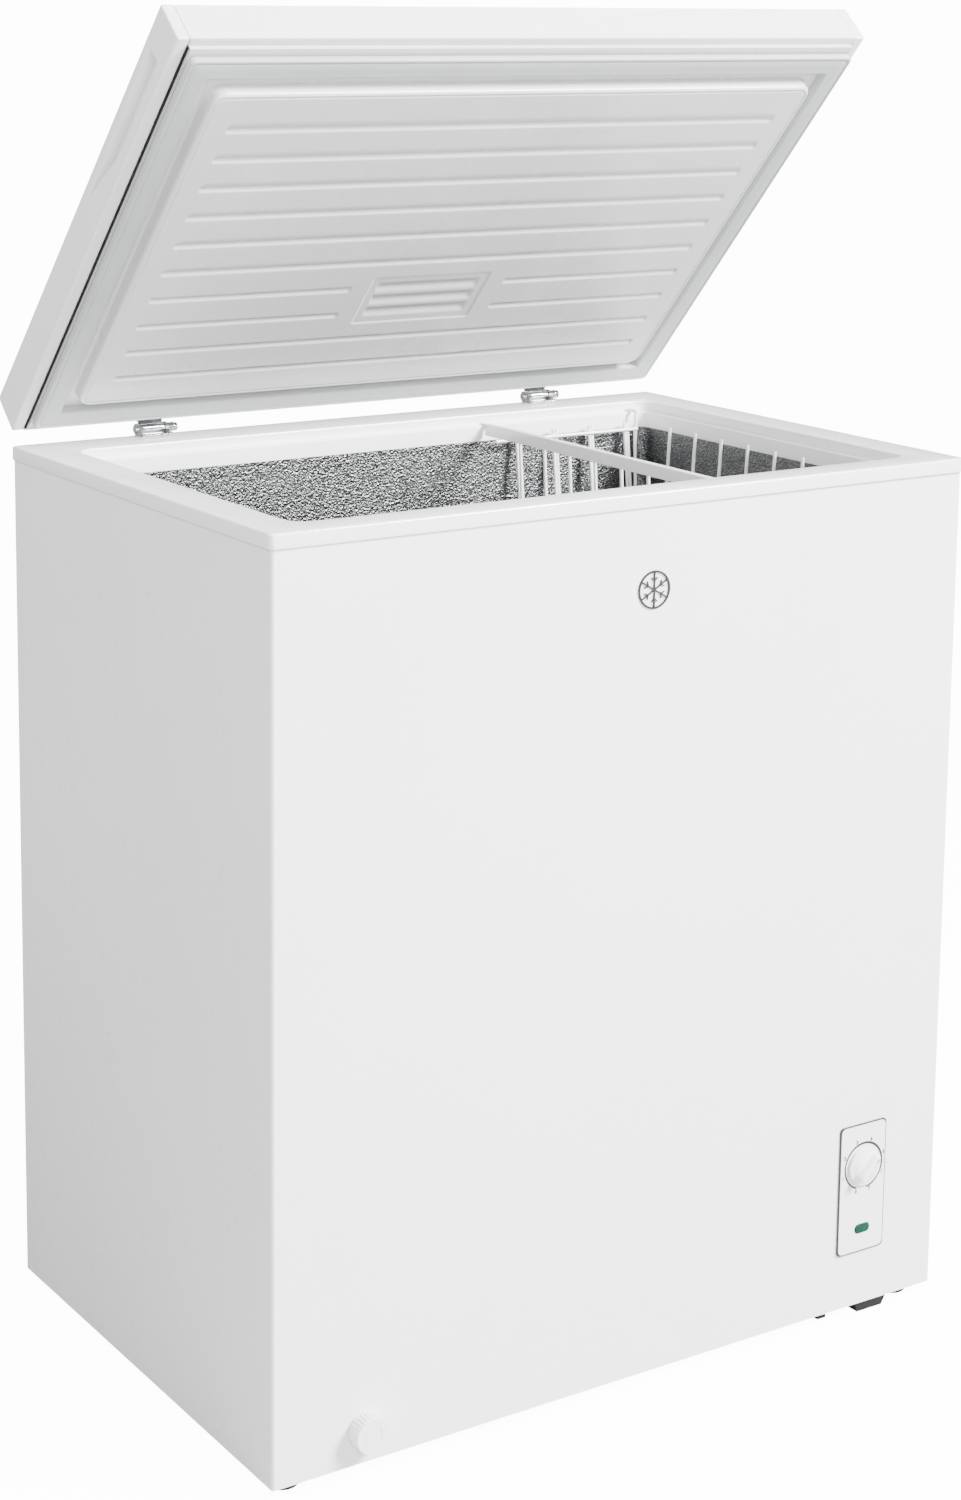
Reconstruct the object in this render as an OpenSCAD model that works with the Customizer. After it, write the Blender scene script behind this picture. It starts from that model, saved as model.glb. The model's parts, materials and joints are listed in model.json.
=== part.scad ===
// A small chest freezer with its lid open, a hanging wire basket and a corner compressor bay.
// X runs to the right, Y to the back and Z up. The origin lies on the floor under the middle.

/* [Cabinet] */
// Width of the steel cabinet
cab_w = 730; // [720:1:760]
// Depth of the steel cabinet
cab_d = 488; // [480:1:510]
// Height of the collar's top face above the floor
rim_z = 824; // [810:1:860]
// Height of the cabinet's lower edge above the floor
foot_h = 12; // [11:1:16]
// How far the cabinet stands forward, to balance the open lid behind it
stand_fwd = 8; // [6:1:12]

/* [Opening] */
// Width of the collar's rim at each side
rim_side = 38; // [36:1:42]
// Width of the collar's rim at the front
rim_front = 31; // [30:1:34]
// Width of the collar's rim at the rear
rim_rear = 49; // [47:1:52]
// Width of the ledge that the basket hangs on
ledge_w = 8; // [7:0.5:9]
// Depth of the ledge below the rim
ledge_drop = 10; // [10:0.5:12]
// Depth of the white throat below the rim
throat_h = 26; // [24:1:30]

/* [Well] */
// Height of the well's floor
well_floor_z = 75; // [72:1:85]
// Left side of the step over the compressor bay
step_x = 105; // [100:1:108]
// Top of the step over the compressor bay
step_z = 295; // [293:1:310]
// Left side of the compressor bay
bay_x = 150; // [149:1:152]
// Top of the compressor bay
bay_z = 255; // [253:1:257]

/* [Lid] */
// Opening angle of the lid
lid_open = 47.4; // [0:0.1:80]
// Length of the lid from front to back
lid_l = 500; // [498:1:502]
// Thickness of the lid's outer shell
lid_h = 39; // [37:1:44]
// Gap between the closed lid's lip and the rim
lid_gap = 12.8; // [12.8:0.1:14]
// Height of the inner plinth below the lid's lip
plinth_h = 17; // [15:0.5:17.5]
// Number of pressed grooves across the plinth
ribs = 10; // [8:1:11]

/* [Basket] */
// Left side of the basket
basket_x = 120; // [118:1:124]
// Width of the basket at its top
basket_w = 191; // [187:1:192]
// Height of the basket's walls
basket_h = 230; // [180:5:240]
// Wires in each side wall of the basket
side_wires = 7; // [5:1:7]
// Radius of the basket's wire
wire_r = 1.7; // [1.5:0.1:1.9]

/* [Controls] */
// Middle of the control panel, from the cabinet's middle
panel_x = 272.7; // [268:0.1:278]
// Middle of the control panel above the floor
panel_z = 130.3; // [126:0.1:136]
// Radius of the thermostat knob
knob_r = 19; // [17:0.5:20]
// Middle of the drain, from the cabinet's middle
drain_x = -276; // [-290:1:-255]
// Height of the drain's middle above the floor
drain_z = 42.5; // [40:0.5:44]

/* [Hidden] */
$fn = 48;

sheet = 1;
eps = 0.5;
joint_over = 0.05;
cab_x = cab_w / 2;
front_y = -cab_d / 2 - stand_fwd;
back_y = cab_d / 2 - stand_fwd;
mid_y = (front_y + back_y) / 2;
in_x = cab_x - sheet;
in_front = front_y + sheet;
in_back = back_y - sheet;

// Collar and throat
collar_over = 2.4;
collar_h = 13;
collar_t = 3;
collar_back = back_y + collar_over;
wrap_top = rim_z - collar_t;
open_w = cab_w - 2 * rim_side;
open_d = cab_d - rim_front - rim_rear;
open_y = (front_y + rim_front + back_y - rim_rear) / 2;
open_r = 20;
throat_t = 2;
ledge_z = rim_z - ledge_drop;
liner_top = rim_z - throat_h;

// Well
well_w = open_w - 2 * ledge_w;
well_d = open_d - 2 * ledge_w;
well_r = open_r - ledge_w;
well_front = open_y - well_d / 2;
well_back = open_y + well_d / 2;

// Tubes bonded to the well and to the rear panel
evap_r = 3.5;
evap_slot = 8;
evap_bend = 16.5;
evap_gap = 20;
evap_z = [for (i = [0 : 5]) step_z + 40 + 74 * i];
cond_r = 2.4;
cond_slot = 6;
cond_pitch = 64;
cond_low = step_z + 40;
cond_high = rim_z - 110;
cond_x = [for (i = [0 : 9]) (i - 4.5) * cond_pitch];
cond_y = in_back - cond_r - 0.2;

// Compressor bay
comp_x = bay_x + 112;
comp_y = back_y - 96;
comp_r = 62;
comp_z = foot_h + 52;
comp_h = 92;
dome_h = 28;
dome_r = (comp_r * comp_r + dome_h * dome_h) / (2 * dome_h);
comp_feet = [for (x = [-62, 62], y = [-50, 50]) [comp_x + x, comp_y + y]];
plate_top = foot_h + 2;
bracket_z = plate_top + 16;
foot_at = [for (x = [-340, 340], y = [front_y + 28, back_y - 28]) [x, y]];
rest_x = [272, 312];
rest_y = in_front + 1;

// Panel and thermostat
panel_w = 54;
panel_h = 126;
panel_t = 2;
knob_x = panel_x + 0.6;
knob_z = panel_z + 22;
knob_gap = 0.4;
knob_t = 8;
shaft_r = 3;
run_gap = 0.05;
lamp_x = panel_x + 1.4;
lamp_z = panel_z - 41;

// Drain
drain_y = -180;
tube_r = 9;
tube_bore = 7;
drain_bend = 18;
spout_r = 6.7;
cap_r = 16.5;
cap_t = 13;
flange_t = 2;

// Hinges
hinge_x = 223;
hinge_w = 32;
ear_t = 3;
ear_r = 5.5;
pivot_y = back_y + 2;
pivot_z = rim_z + ear_r;
pin_r = 2.5;
barrel_r = 4.8;
spring_w = 8;
spring_turns = 4;
spring_r = 3.8;
wire_half = 0.7;
spring_l = spring_w - 0.6;
pin_head_r = 4;
pin_head_t = 1.4;
leaf_t = 1.5;

// Lid, drawn closed and then turned about the hinge pins
lid_back = pivot_y - 3.5;
lid_front = lid_back - lid_l;
lip_z = rim_z + lid_gap;
lid_top = lip_z + lid_h;
trim_w = 12;
trim_over = 1.5;
seat_h = 4.5;
seat_x = cab_x - trim_w - 1;
seat_back = lid_back - 12;
seat_front = lid_front + 8;
gasket_w = 23;
gasket_h = 8;
gasket_x = cab_x - trim_w - 0.5;
gasket_back = lid_back - 15;
gasket_front = lid_front + 14;
plinth_x = 321;
plinth_back = lid_back - 50;
plinth_front = lid_front + 48;
skin = 2;
face_t = 4.5;
plinth_wall = 8;
rib_pitch = 35.8;
rib_x = 295;
rib_r = 4;
rib_deep = 2.6;
rib_mid = lid_back - 248;
louvre_x = 82;
louvre_y = lid_back - 177;

// Basket
basket_y = open_y + 1;
basket_d = 376;
basket_end = basket_x + basket_w;
wire_pitch = 42.2;
basket_top = ledge_z - 9;
basket_low = basket_top - basket_h;
side_lean = 12;
end_lean = 28;
weld_in = 5.2;
weld_gap = 0.05;
rail_top = ledge_z + 2.3;
bar_pitch = 45;
bar_x = [for (i = [0 : 3]) basket_x + 36 + i * bar_pitch];
wire_y = [for (i = [0 : side_wires - 1]) basket_y + 8.6 + (i - (side_wires - 1) / 2) * wire_pitch];

// A block between two corners
module block(x0, x1, y0, y1, z0, z1) {
    translate([x0, y0, z0])
        cube([x1 - x0, y1 - y0, z1 - z0]);
}

// A rectangle with round corners
module rounded(w, d, r) {
    square([w - 2 * r, d], center = true);
    square([w, d - 2 * r], center = true);
    for (x = [-1, 1], y = [-1, 1])
        translate([x * (w / 2 - r), y * (d / 2 - r)])
            circle(r);
}

// A round bar between two points
module pipe(a, b, r) {
    d = b - a;
    translate(a)
        rotate([0, acos(d[2] / norm(d)), atan2(d[1], d[0])])
            cylinder(h = norm(d), r = r);
}

// A chain of round bars with round joints
module pipe_run(points, r) {
    for (i = [0 : len(points) - 2])
        pipe(points[i], points[i + 1], r);
    if (len(points) > 2)
        for (i = [1 : len(points) - 2])
            translate(points[i])
                sphere(r + joint_over);
}

// A cylinder that runs along Y from y0 to y1
module along_y(x, z, y0, y1, r) {
    translate([x, y0, z])
        rotate([-90, 0, 0])
            cylinder(h = y1 - y0, r = r);
}

// A cylinder that runs along X from x0 to x1
module along_x(x0, x1, y, z, r) {
    translate([x0, y, z])
        rotate([0, 90, 0])
            cylinder(h = x1 - x0, r = r);
}

// The throat's opening between two heights, grown outwards
module opening_space(grow, z0, z1) {
    translate([0, open_y, z0])
        linear_extrude(z1 - z0)
            rounded(open_w + 2 * grow, open_d + 2 * grow, open_r + grow);
}

// The well's straight walls between two heights, grown outwards
module wall_space(grow, z0, z1) {
    translate([0, open_y, z0])
        linear_extrude(z1 - z0)
            rounded(well_w + 2 * grow, well_d + 2 * grow, well_r + grow);
}

// The whole well with its step, grown outwards
module well_space(grow, top) {
    difference() {
        wall_space(grow, well_floor_z - grow, top);
        block(step_x + grow, cab_x, front_y, back_y, foot_h, step_z - grow);
    }
}

// Places the lid's parts at the lid's opening angle
module on_lid() {
    translate([0, pivot_y, pivot_z])
        rotate([-lid_open, 0, 0])
            translate([0, -pivot_y, -pivot_z])
                children();
}

module cabinet_wrap() {
    color("white")
        difference() {
            block(-cab_x, cab_x, front_y, back_y, foot_h, wrap_top);
            block(-in_x, in_x, in_front, back_y + 1, foot_h - 1, wrap_top + 1);
            block(panel_x - 22, panel_x + 22, front_y - 1, in_front + 1, panel_z - 55, panel_z + 55);
            along_y(drain_x, drain_z, front_y - 1, in_front + 1, tube_r + 0.3);
            block(in_x - 1, cab_x + 1, 40, 180, 60, 180);
        }
}

module rear_panel() {
    color("gainsboro")
        difference() {
            block(-in_x, in_x, in_back, back_y, foot_h + sheet, wrap_top);
            block(bay_x + 14, in_x - 14, in_back - 1, back_y + 1, foot_h + 14, bay_z - 14);
            hinge_screw_holes();
            bay_screw_holes();
        }
}

// Holes for the screws of the hinge bases
module hinge_screw_holes() {
    for (x = [-hinge_x, hinge_x], dx = [-9, 9], dz = [35, 60])
        along_y(x + dx, rim_z - dz, in_back - 1, collar_back + 4, 2.1);
}

// Holes for the screws of the bay's cover
module bay_screw_holes() {
    for (x = [bay_x + 8, in_x - 8], z = [foot_h + 20, bay_z - 6])
        along_y(x, z, in_back - 1, back_y + 3, 2.1);
}

module bottom_panel() {
    color("silver")
        difference() {
            block(-in_x, bay_x, in_front, in_back, foot_h, foot_h + sheet);
            for (p = foot_at)
                translate([p[0], p[1], foot_h - 1])
                    cylinder(h = 4, r = 4.2);
        }
}

module bay_partition() {
    color("silver")
        difference() {
            union() {
                block(bay_x, bay_x + sheet, in_front, in_back, foot_h + sheet, bay_z);
                block(bay_x, in_x, in_front, in_back, bay_z - sheet, bay_z);
            }
            for (x = [310, 330])
                translate([x, cond_y, bay_z - 5])
                    cylinder(h = 10, r = cond_r + 0.6);
            bay_tube_holes();
        }
}

module rear_bay_cover() {
    color("gainsboro")
        difference() {
            block(bay_x + 2, in_x - 2, back_y, back_y + 1.2, foot_h + 6, bay_z + 2);
            for (x = [0, 1], i = [0 : 8])
                block(
                    bay_x + 32 + x * 78, bay_x + 94 + x * 78, back_y - 1, back_y + 2,
                    foot_h + 82 + 15 * i, foot_h + 87 + 15 * i
                );
            bay_screw_holes();
            along_y(in_x - 34, foot_h + 48, back_y - 1, back_y + 3, 7.1);
        }
}

module bay_cover_screws() {
    color("silver")
        for (x = [bay_x + 8, in_x - 8], z = [foot_h + 20, bay_z - 6]) {
            along_y(x, z, in_back, back_y + 1.2, 2);
            along_y(x, z, back_y + 1.2, back_y + 3, 3.8);
        }
}

module side_vent_grille() {
    color("white")
        difference() {
            union() {
                block(cab_x, cab_x + 1.6, 34, 186, 54, 186);
                block(in_x - 3, cab_x, 41, 179, 61, 179);
            }
            for (i = [0 : 10])
                block(in_x - 5, cab_x + 3, 48, 172, 67 + 10 * i, 72 + 10 * i);
        }
}

// The tray's tapered rest and its small tab, behind the cabinet's lower front edge
module tray_rest() {
    translate([0, rest_y + 14, 0])
        rotate([90, 0, 0])
            linear_extrude(14)
                polygon([
                    [rest_x[0], foot_h + 1], [rest_x[0] + 3, 2],
                    [rest_x[1] - 6, 2], [rest_x[1], foot_h + 1]
                ]);
    block(rest_x[0] - 46, rest_x[0] - 36, rest_y, rest_y + 10, foot_h - 5, foot_h + 1);
}

module compressor_base_plate() {
    color("dimgray")
        difference() {
            union() {
                block(bay_x + sheet, in_x, in_front, in_back, foot_h, plate_top);
                for (x = [246, 342])
                    block(x, x + 8, front_y + 52, back_y - 52, foot_h - 6, foot_h);
                tray_rest();
            }
            for (p = comp_feet)
                translate([p[0], p[1], foot_h - 1])
                    cylinder(h = 4, r = 3.3);
            for (p = foot_at)
                translate([p[0], p[1], foot_h - 1])
                    cylinder(h = 4, r = 4.2);
        }
}

module leveling_feet() {
    color("black")
        for (p = foot_at)
            translate([p[0], p[1], 0]) {
                cylinder(h = foot_h, r1 = 14, r2 = 19);
                cylinder(h = foot_h + sheet, r = 4);
            }
}

module top_collar() {
    color("white")
        difference() {
            translate([0, mid_y, rim_z - collar_h])
                linear_extrude(collar_h)
                    rounded(cab_w + 2 * collar_over, cab_d + 2 * collar_over, 5);
            translate([0, mid_y, rim_z - collar_h - 1])
                linear_extrude(collar_h - collar_t + 1)
                    square([cab_w, cab_d], center = true);
            opening_space(0, rim_z - collar_h - 1, rim_z + 1);
        }
}

module throat_frame() {
    color("whitesmoke")
        difference() {
            union() {
                opening_space(throat_t, ledge_z - throat_t, rim_z - collar_t);
                wall_space(throat_t, liner_top, ledge_z - throat_t);
            }
            opening_space(0, ledge_z, rim_z);
            wall_space(0, liner_top - 1, rim_z);
        }
}

module inner_liner() {
    color("silver")
        difference() {
            well_space(sheet, liner_top);
            well_space(0, liner_top + 1);
            translate([drain_x, drain_y, well_floor_z - 3])
                cylinder(h = 6, r = tube_bore);
        }
}

// What the foam leaves free
module foam_cutouts() {
    opening_space(throat_t, ledge_z - throat_t, rim_z);
    wall_space(throat_t, liner_top, ledge_z);
    well_space(sheet, liner_top + eps);
    block(bay_x, cab_x, front_y, back_y, foot_h, bay_z);
    block(
        drain_x - tube_r, drain_x + tube_r, front_y, drain_y + tube_r,
        drain_z - tube_r, well_floor_z
    );
    for (z = evap_z)
        wall_space(sheet + evap_slot, z - evap_slot / 2, z + evap_slot / 2);
    block(
        evap_gap - evap_slot / 2, evap_gap + evap_slot / 2, well_back,
        well_back + sheet + evap_slot, evap_z[0], evap_z[5]
    );
    for (x = cond_x)
        block(x - 3, x + 3, in_back - cond_slot, back_y, cond_low, cond_high);
    for (i = [0 : 4])
        block(
            cond_x[2 * i] - 3, cond_x[2 * i + 1] + 3, in_back - cond_slot, back_y,
            cond_high - eps, cond_high + cond_pitch / 2 + 3
        );
    for (i = [1 : 4])
        block(
            cond_x[2 * i - 1] - 3, cond_x[2 * i] + 3, in_back - cond_slot, back_y,
            cond_low - cond_pitch / 2 - 3, cond_low + eps
        );
    block(cond_x[0] - 3, 313, in_back - cond_slot, back_y, bay_z + 4, bay_z + 12);
    block(cond_x[0] - 3, cond_x[0] + 3, in_back - cond_slot, back_y, bay_z + 4, cond_low + eps);
    block(cond_x[9] - 3, cond_x[9] + 3, in_back - cond_slot, back_y, bay_z + 20, cond_low + eps);
    block(cond_x[9] - 3, 334, in_back - cond_slot, back_y, bay_z + 20, bay_z + 28);
    block(326, 334, in_back - cond_slot, back_y, bay_z - 1, bay_z + 28);
    block(307, 313, in_back - cond_slot, back_y, bay_z - 1, bay_z + 12);
    bay_tube_holes();
}

// Holes over the bay for the suction tube and the capillary tube
module bay_tube_holes() {
    translate([comp_x - 84, comp_y, bay_z - 5])
        cylinder(h = 26, r = 4.6);
    translate([comp_x - 46, comp_y + 72, bay_z - 5])
        cylinder(h = 26, r = 1.8);
}

// A block of foam, less everything that it surrounds
module foam_block(x0, x1, y0, y1, z0, z1) {
    color("khaki")
        difference() {
            block(x0, x1, y0, y1, z0, z1);
            foam_cutouts();
        }
}

module foam_left() {
    foam_block(-in_x, -well_w / 2 - sheet, in_front, in_back, foot_h + sheet, wrap_top);
}

module foam_right() {
    foam_block(well_w / 2 + sheet, in_x, in_front, in_back, bay_z, wrap_top);
}

module foam_front() {
    foam_block(
        -well_w / 2 - sheet, well_w / 2 + sheet, in_front, well_front - sheet,
        foot_h + sheet, wrap_top
    );
}

module foam_rear() {
    foam_block(
        -well_w / 2 - sheet, well_w / 2 + sheet, well_back + sheet, in_back,
        foot_h + sheet, wrap_top
    );
}

module foam_floor() {
    foam_block(
        -well_w / 2 - sheet, bay_x, well_front - sheet, well_back + sheet,
        foot_h + sheet, well_floor_z
    );
}

module foam_step() {
    foam_block(
        step_x, bay_x, well_front - sheet, well_back + sheet, well_floor_z, step_z
    );
    foam_block(
        bay_x, well_w / 2 + sheet, well_front - sheet, well_back + sheet, bay_z, step_z
    );
}

// One turn of tube round the well, open at the back
module evap_turn(z) {
    px = well_w / 2 + sheet + evap_r + 0.2;
    py0 = well_front - sheet - evap_r - 0.2;
    py1 = well_back + sheet + evap_r + 0.2;
    b = evap_bend;
    along_x(-px + b, px - b, py0, z, evap_r);
    along_y(-px, z, py0 + b, py1 - b, evap_r);
    along_y(px, z, py0 + b, py1 - b, evap_r);
    for (x = [-1, 1], y = [-1, 1])
        translate([x * (px - b), y > 0 ? py1 - b : py0 + b, z])
            rotate([0, 0, x > 0 ? (y > 0 ? 0 : -90) : (y > 0 ? 90 : 180)])
                rotate_extrude(angle = 90)
                    translate([b, 0])
                        circle(evap_r);
}

module evaporator_coil() {
    link_y = well_back + sheet + evap_r + 0.2;
    end_x = well_w / 2 + sheet + evap_r + 0.2 - evap_bend;
    color("goldenrod") {
        for (z = evap_z)
            evap_turn(z);
        for (i = [0 : 4])
            pipe_run([
                [end_x, link_y, evap_z[i]],
                [evap_gap, link_y, evap_z[i]],
                [evap_gap, link_y, evap_z[i + 1]],
                [-end_x, link_y, evap_z[i + 1]]
            ], evap_r);
        pipe([-end_x, link_y, evap_z[0]], [0, link_y, evap_z[0]], evap_r);
        pipe([evap_gap, link_y, evap_z[5]], [end_x, link_y, evap_z[5]], evap_r);
    }
}

// The two corners of one turn of the condenser's tube
function cond_turn(i) =
    let (z = i % 2 == 0 ? cond_high + 24 : cond_low - 24)
    [[cond_x[i], cond_y, z], [cond_x[i + 1], cond_y, z]];

module condenser_coil() {
    color("dimgray")
        pipe_run(concat(
            [[310, cond_y, bay_z - 42], [310, cond_y, bay_z + 8], [cond_x[0], cond_y, bay_z + 8]],
            [for (i = [0 : 8]) each cond_turn(i)],
            [[cond_x[9], cond_y, bay_z + 24], [330, cond_y, bay_z + 24], [330, cond_y, bay_z - 42]]
        ), cond_r);
}

// One domed end of the compressor's can, drawn upwards from its rim
module can_dome() {
    intersection() {
        translate([0, 0, dome_h - dome_r])
            sphere(dome_r, $fn = 96);
        cylinder(h = dome_h + 1, r = comp_r, $fn = 96);
    }
}

module compressor() {
    color("black") {
        translate([comp_x, comp_y, comp_z]) {
            cylinder(h = comp_h, r = comp_r, $fn = 96);
            translate([0, 0, comp_h])
                can_dome();
            mirror([0, 0, 1])
                can_dome();
            translate([0, 0, comp_h / 2])
                cylinder(h = 6, r = comp_r + 3, $fn = 96);
        }
        difference() {
            block(comp_x - 74, comp_x + 74, comp_y - 62, comp_y + 62, bracket_z, bracket_z + 3);
            for (p = comp_feet)
                translate([p[0], p[1], bracket_z - 1])
                    cylinder(h = 5, r = 6);
        }
        translate([comp_x, comp_y, bracket_z + 1])
            cylinder(h = comp_z - bracket_z, r = 34);
        along_x(comp_x - 68, comp_x - 40, comp_y, comp_z + 66, 6);
        along_x(comp_x + 30, comp_x + 68, comp_y - 30, comp_z + 66, 4);
        block(comp_x - 15, comp_x + 15, comp_y - 65, comp_y - 50, comp_z + 10, comp_z + 44);
    }
}

module compressor_grommets() {
    color("dimgray")
        for (p = comp_feet)
            translate([p[0], p[1], plate_top])
                difference() {
                    union() {
                        cylinder(h = 16, r = 11);
                        cylinder(h = 19, r = 6);
                        translate([0, 0, 19])
                            cylinder(h = 3, r = 10);
                    }
                    translate([0, 0, -1])
                        cylinder(h = 30, r = 3.3);
                }
}

module compressor_bolts() {
    color("silver")
        for (p = comp_feet)
            translate([p[0], p[1], foot_h - 5]) {
                cylinder(h = 5, r = 6, $fn = 6);
                cylinder(h = 34, r = 3);
                translate([0, 0, 29])
                    cylinder(h = 4, r = 6, $fn = 6);
            }
}

module start_relay_cover() {
    color("black")
        block(comp_x - 26, comp_x + 26, comp_y - 88, comp_y - 65, comp_z + 4, comp_z + 60);
}

module filter_drier() {
    color("peru")
        translate([330, cond_y - 12, bay_z - 130]) {
            cylinder(h = 60, r = 9);
            translate([0, 0, 60])
                cylinder(h = 14, r1 = 9, r2 = cond_r);
            translate([0, 0, -14])
                cylinder(h = 14, r1 = cond_r, r2 = 9);
            pipe_run([[0, 0, 73], [0, 0, 82], [0, 12, 82], [0, 12, 88]], cond_r);
            pipe_run([
                [0, 0, -13],
                [0, 0, -30],
                [0, comp_y + 72 - cond_y + 12, -30],
                [comp_x - 376, comp_y + 72 - cond_y + 12, -30],
                [comp_x - 376, comp_y + 72 - cond_y + 12, 150]
            ], 1.2);
        }
}

module suction_tube() {
    color("peru")
        pipe_run([
            [comp_x - 68, comp_y, comp_z + 66],
            [comp_x - 84, comp_y, comp_z + 66],
            [comp_x - 84, comp_y, bay_z + 20]
        ], 4);
}

module discharge_tube() {
    color("peru")
        pipe_run([
            [comp_x + 68, comp_y - 30, comp_z + 66],
            [comp_x + 84, comp_y - 30, comp_z + 66],
            [comp_x + 84, comp_y - 30, bay_z - 55],
            [comp_x + 84, cond_y, bay_z - 55],
            [310, cond_y, bay_z - 55],
            [310, cond_y, bay_z - 42]
        ], cond_r);
}

module thermostat_body() {
    color("silver")
        difference() {
            block(knob_x - 17, knob_x + 17, front_y + 4, front_y + 34, knob_z - 20, knob_z + 20);
            along_y(knob_x, knob_z, front_y, front_y + 24, shaft_r + run_gap);
        }
}

module control_panel_plate() {
    color("whitesmoke")
        difference() {
            union() {
                translate([panel_x, front_y, panel_z])
                    rotate([90, 0, 0])
                        linear_extrude(panel_t)
                            rounded(panel_w, panel_h, 5);
                block(
                    panel_x - 21.5, panel_x + 21.5, front_y - panel_t / 2, front_y + 4,
                    panel_z - 54.5, panel_z + 54.5
                );
            }
            block(
                panel_x - 20, panel_x + 20, front_y, front_y + 5,
                panel_z - 53, panel_z + 53
            );
            along_y(knob_x, knob_z, front_y - 5, front_y + 1, shaft_r + 1);
            translate([lamp_x, front_y + 1, lamp_z])
                rotate([90, 0, 0])
                    linear_extrude(4)
                        rounded(18.6, 9.6, 4.7);
        }
}

module pilot_lamp() {
    color("seagreen")
        translate([lamp_x, front_y + 3, lamp_z])
            rotate([90, 0, 0])
                linear_extrude(3 + panel_t + 0.6)
                    rounded(18, 9, 4.4);
    color("seagreen")
        along_y(lamp_x, lamp_z, front_y + 3, front_y + 18, 4);
}

module wiring_harness() {
    color("royalblue")
        for (i = [0 : 2])
            pipe_run([
                [knob_x - 8 + 8 * i, front_y + 34, knob_z],
                [knob_x - 8 + 8 * i, comp_y - 110 - 6 * i, knob_z],
                [knob_x - 8 + 8 * i, comp_y - 110 - 6 * i, comp_z + 36],
                [knob_x - 8 + 8 * i, comp_y - 88, comp_z + 36]
            ], 1.6);
}

module cord_gland() {
    color("black")
        difference() {
            union() {
                along_y(in_x - 34, foot_h + 48, back_y - 7, back_y + 8, 7);
                along_y(in_x - 34, foot_h + 48, back_y + 1.2, back_y + 4, 10);
                along_y(in_x - 34, foot_h + 48, back_y - 4, back_y - 1.2, 9);
            }
            along_y(in_x - 34, foot_h + 48, back_y - 8, back_y + 9, 3.6);
        }
}

// The drain's bent path at a given radius
module drain_path(r, y0) {
    translate([drain_x, drain_y, drain_z + drain_bend])
        cylinder(h = well_floor_z - sheet - drain_z - drain_bend, r = r);
    translate([drain_x, drain_y - drain_bend, drain_z + drain_bend])
        rotate([0, 90, 0])
            rotate_extrude(angle = 90)
                translate([drain_bend, 0])
                    circle(r);
    along_y(drain_x, drain_z, y0, drain_y - drain_bend, r);
}

module drain_tube() {
    color("white")
        difference() {
            drain_path(tube_r, front_y);
            drain_path(tube_bore, front_y - 1);
            translate([drain_x, drain_y, well_floor_z - sheet - 4])
                cylinder(h = 6, r = tube_bore);
        }
}

module drain_flange() {
    color("white")
        difference() {
            along_y(drain_x, drain_z, front_y - flange_t, front_y, cap_r);
            along_y(drain_x, drain_z, front_y - flange_t - 1, front_y + 1, spout_r + 0.3);
        }
}

module drain_spout() {
    color("white")
        difference() {
            along_y(drain_x, drain_z, front_y - 11, front_y + 44, spout_r);
            along_y(drain_x, drain_z, front_y - 9, front_y + 45, 5);
        }
}

module drain_cap() {
    cap_y = front_y - flange_t - 0.3;
    color("white")
        difference() {
            union() {
                along_y(drain_x, drain_z, cap_y - cap_t, cap_y, cap_r - 0.8);
                for (a = [0 : 12 : 348])
                    along_y(
                        drain_x + (cap_r - 1) * cos(a), drain_z + (cap_r - 1) * sin(a),
                        cap_y - cap_t + 1.5, cap_y, 1
                    );
            }
            along_y(drain_x, drain_z, front_y - 11.3, cap_y + 1, spout_r + run_gap);
            difference() {
                along_y(drain_x, drain_z, cap_y - cap_t - 1, cap_y - cap_t + 0.6, 9);
                along_y(drain_x, drain_z, cap_y - cap_t - 2, cap_y - cap_t + 1, 8);
            }
        }
}

module floor_drain_plug() {
    color("gray")
        translate([drain_x, drain_y, well_floor_z + 0.3]) {
            translate([0, 0, -12])
                cylinder(h = 13, r = spout_r);
            cylinder(h = 3, r = 12);
            translate([0, 0, 9])
                rotate([90, 0, 0])
                    rotate_extrude()
                        translate([6.5, 0])
                            circle(1.5);
        }
}

module front_emblem() {
    color("gray")
        translate([11.5, front_y, 738])
            rotate([90, 0, 0]) {
                difference() {
                    cylinder(h = 1.2, r = 17, $fn = 96);
                    translate([0, 0, -1])
                        cylinder(h = 4, r = 15.2, $fn = 96);
                }
                for (a = [0 : 60 : 300])
                    rotate([0, 0, a + 30]) {
                        translate([0, -0.7, 0])
                            cube([15.6, 1.4, 1.2]);
                        for (s = [-1, 1])
                            translate([7.5, 0, 0])
                                rotate([0, 0, 45 * s])
                                    translate([0, -0.5, 0])
                                        cube([4.5, 1, 1.2]);
                    }
            }
}

// The fixed half of a hinge: foot on the rim, ears for the pin, plate down the back
module hinge_base(x) {
    x0 = x - hinge_w / 2;
    x1 = x + hinge_w / 2;
    color("lightgray")
        difference() {
            union() {
                block(x0, x1, pivot_y - 16, pivot_y - 8, rim_z, rim_z + 1.5);
                for (e = [x0, x1 - ear_t]) {
                    along_x(e, e + ear_t, pivot_y, pivot_z, ear_r);
                    block(e, e + ear_t, pivot_y - 16, collar_back, rim_z, rim_z + 3);
                    block(e, e + ear_t, pivot_y - 13, pivot_y, rim_z, pivot_z + 3);
                    block(e, e + ear_t, collar_back, collar_back + 2, rim_z - 20, rim_z + 3);
                }
                block(x0, x1, collar_back, collar_back + 2, rim_z - 75, rim_z - 1.5);
                block(x0, x1, back_y, collar_back, rim_z - 75, rim_z - collar_h);
            }
            along_x(x0 - 1, x1 + 1, pivot_y, pivot_z, pin_r);
            hinge_screw_holes();
        }
}

module hinge_base_left() {
    hinge_base(-hinge_x);
}

module hinge_base_right() {
    hinge_base(hinge_x);
}

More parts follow.
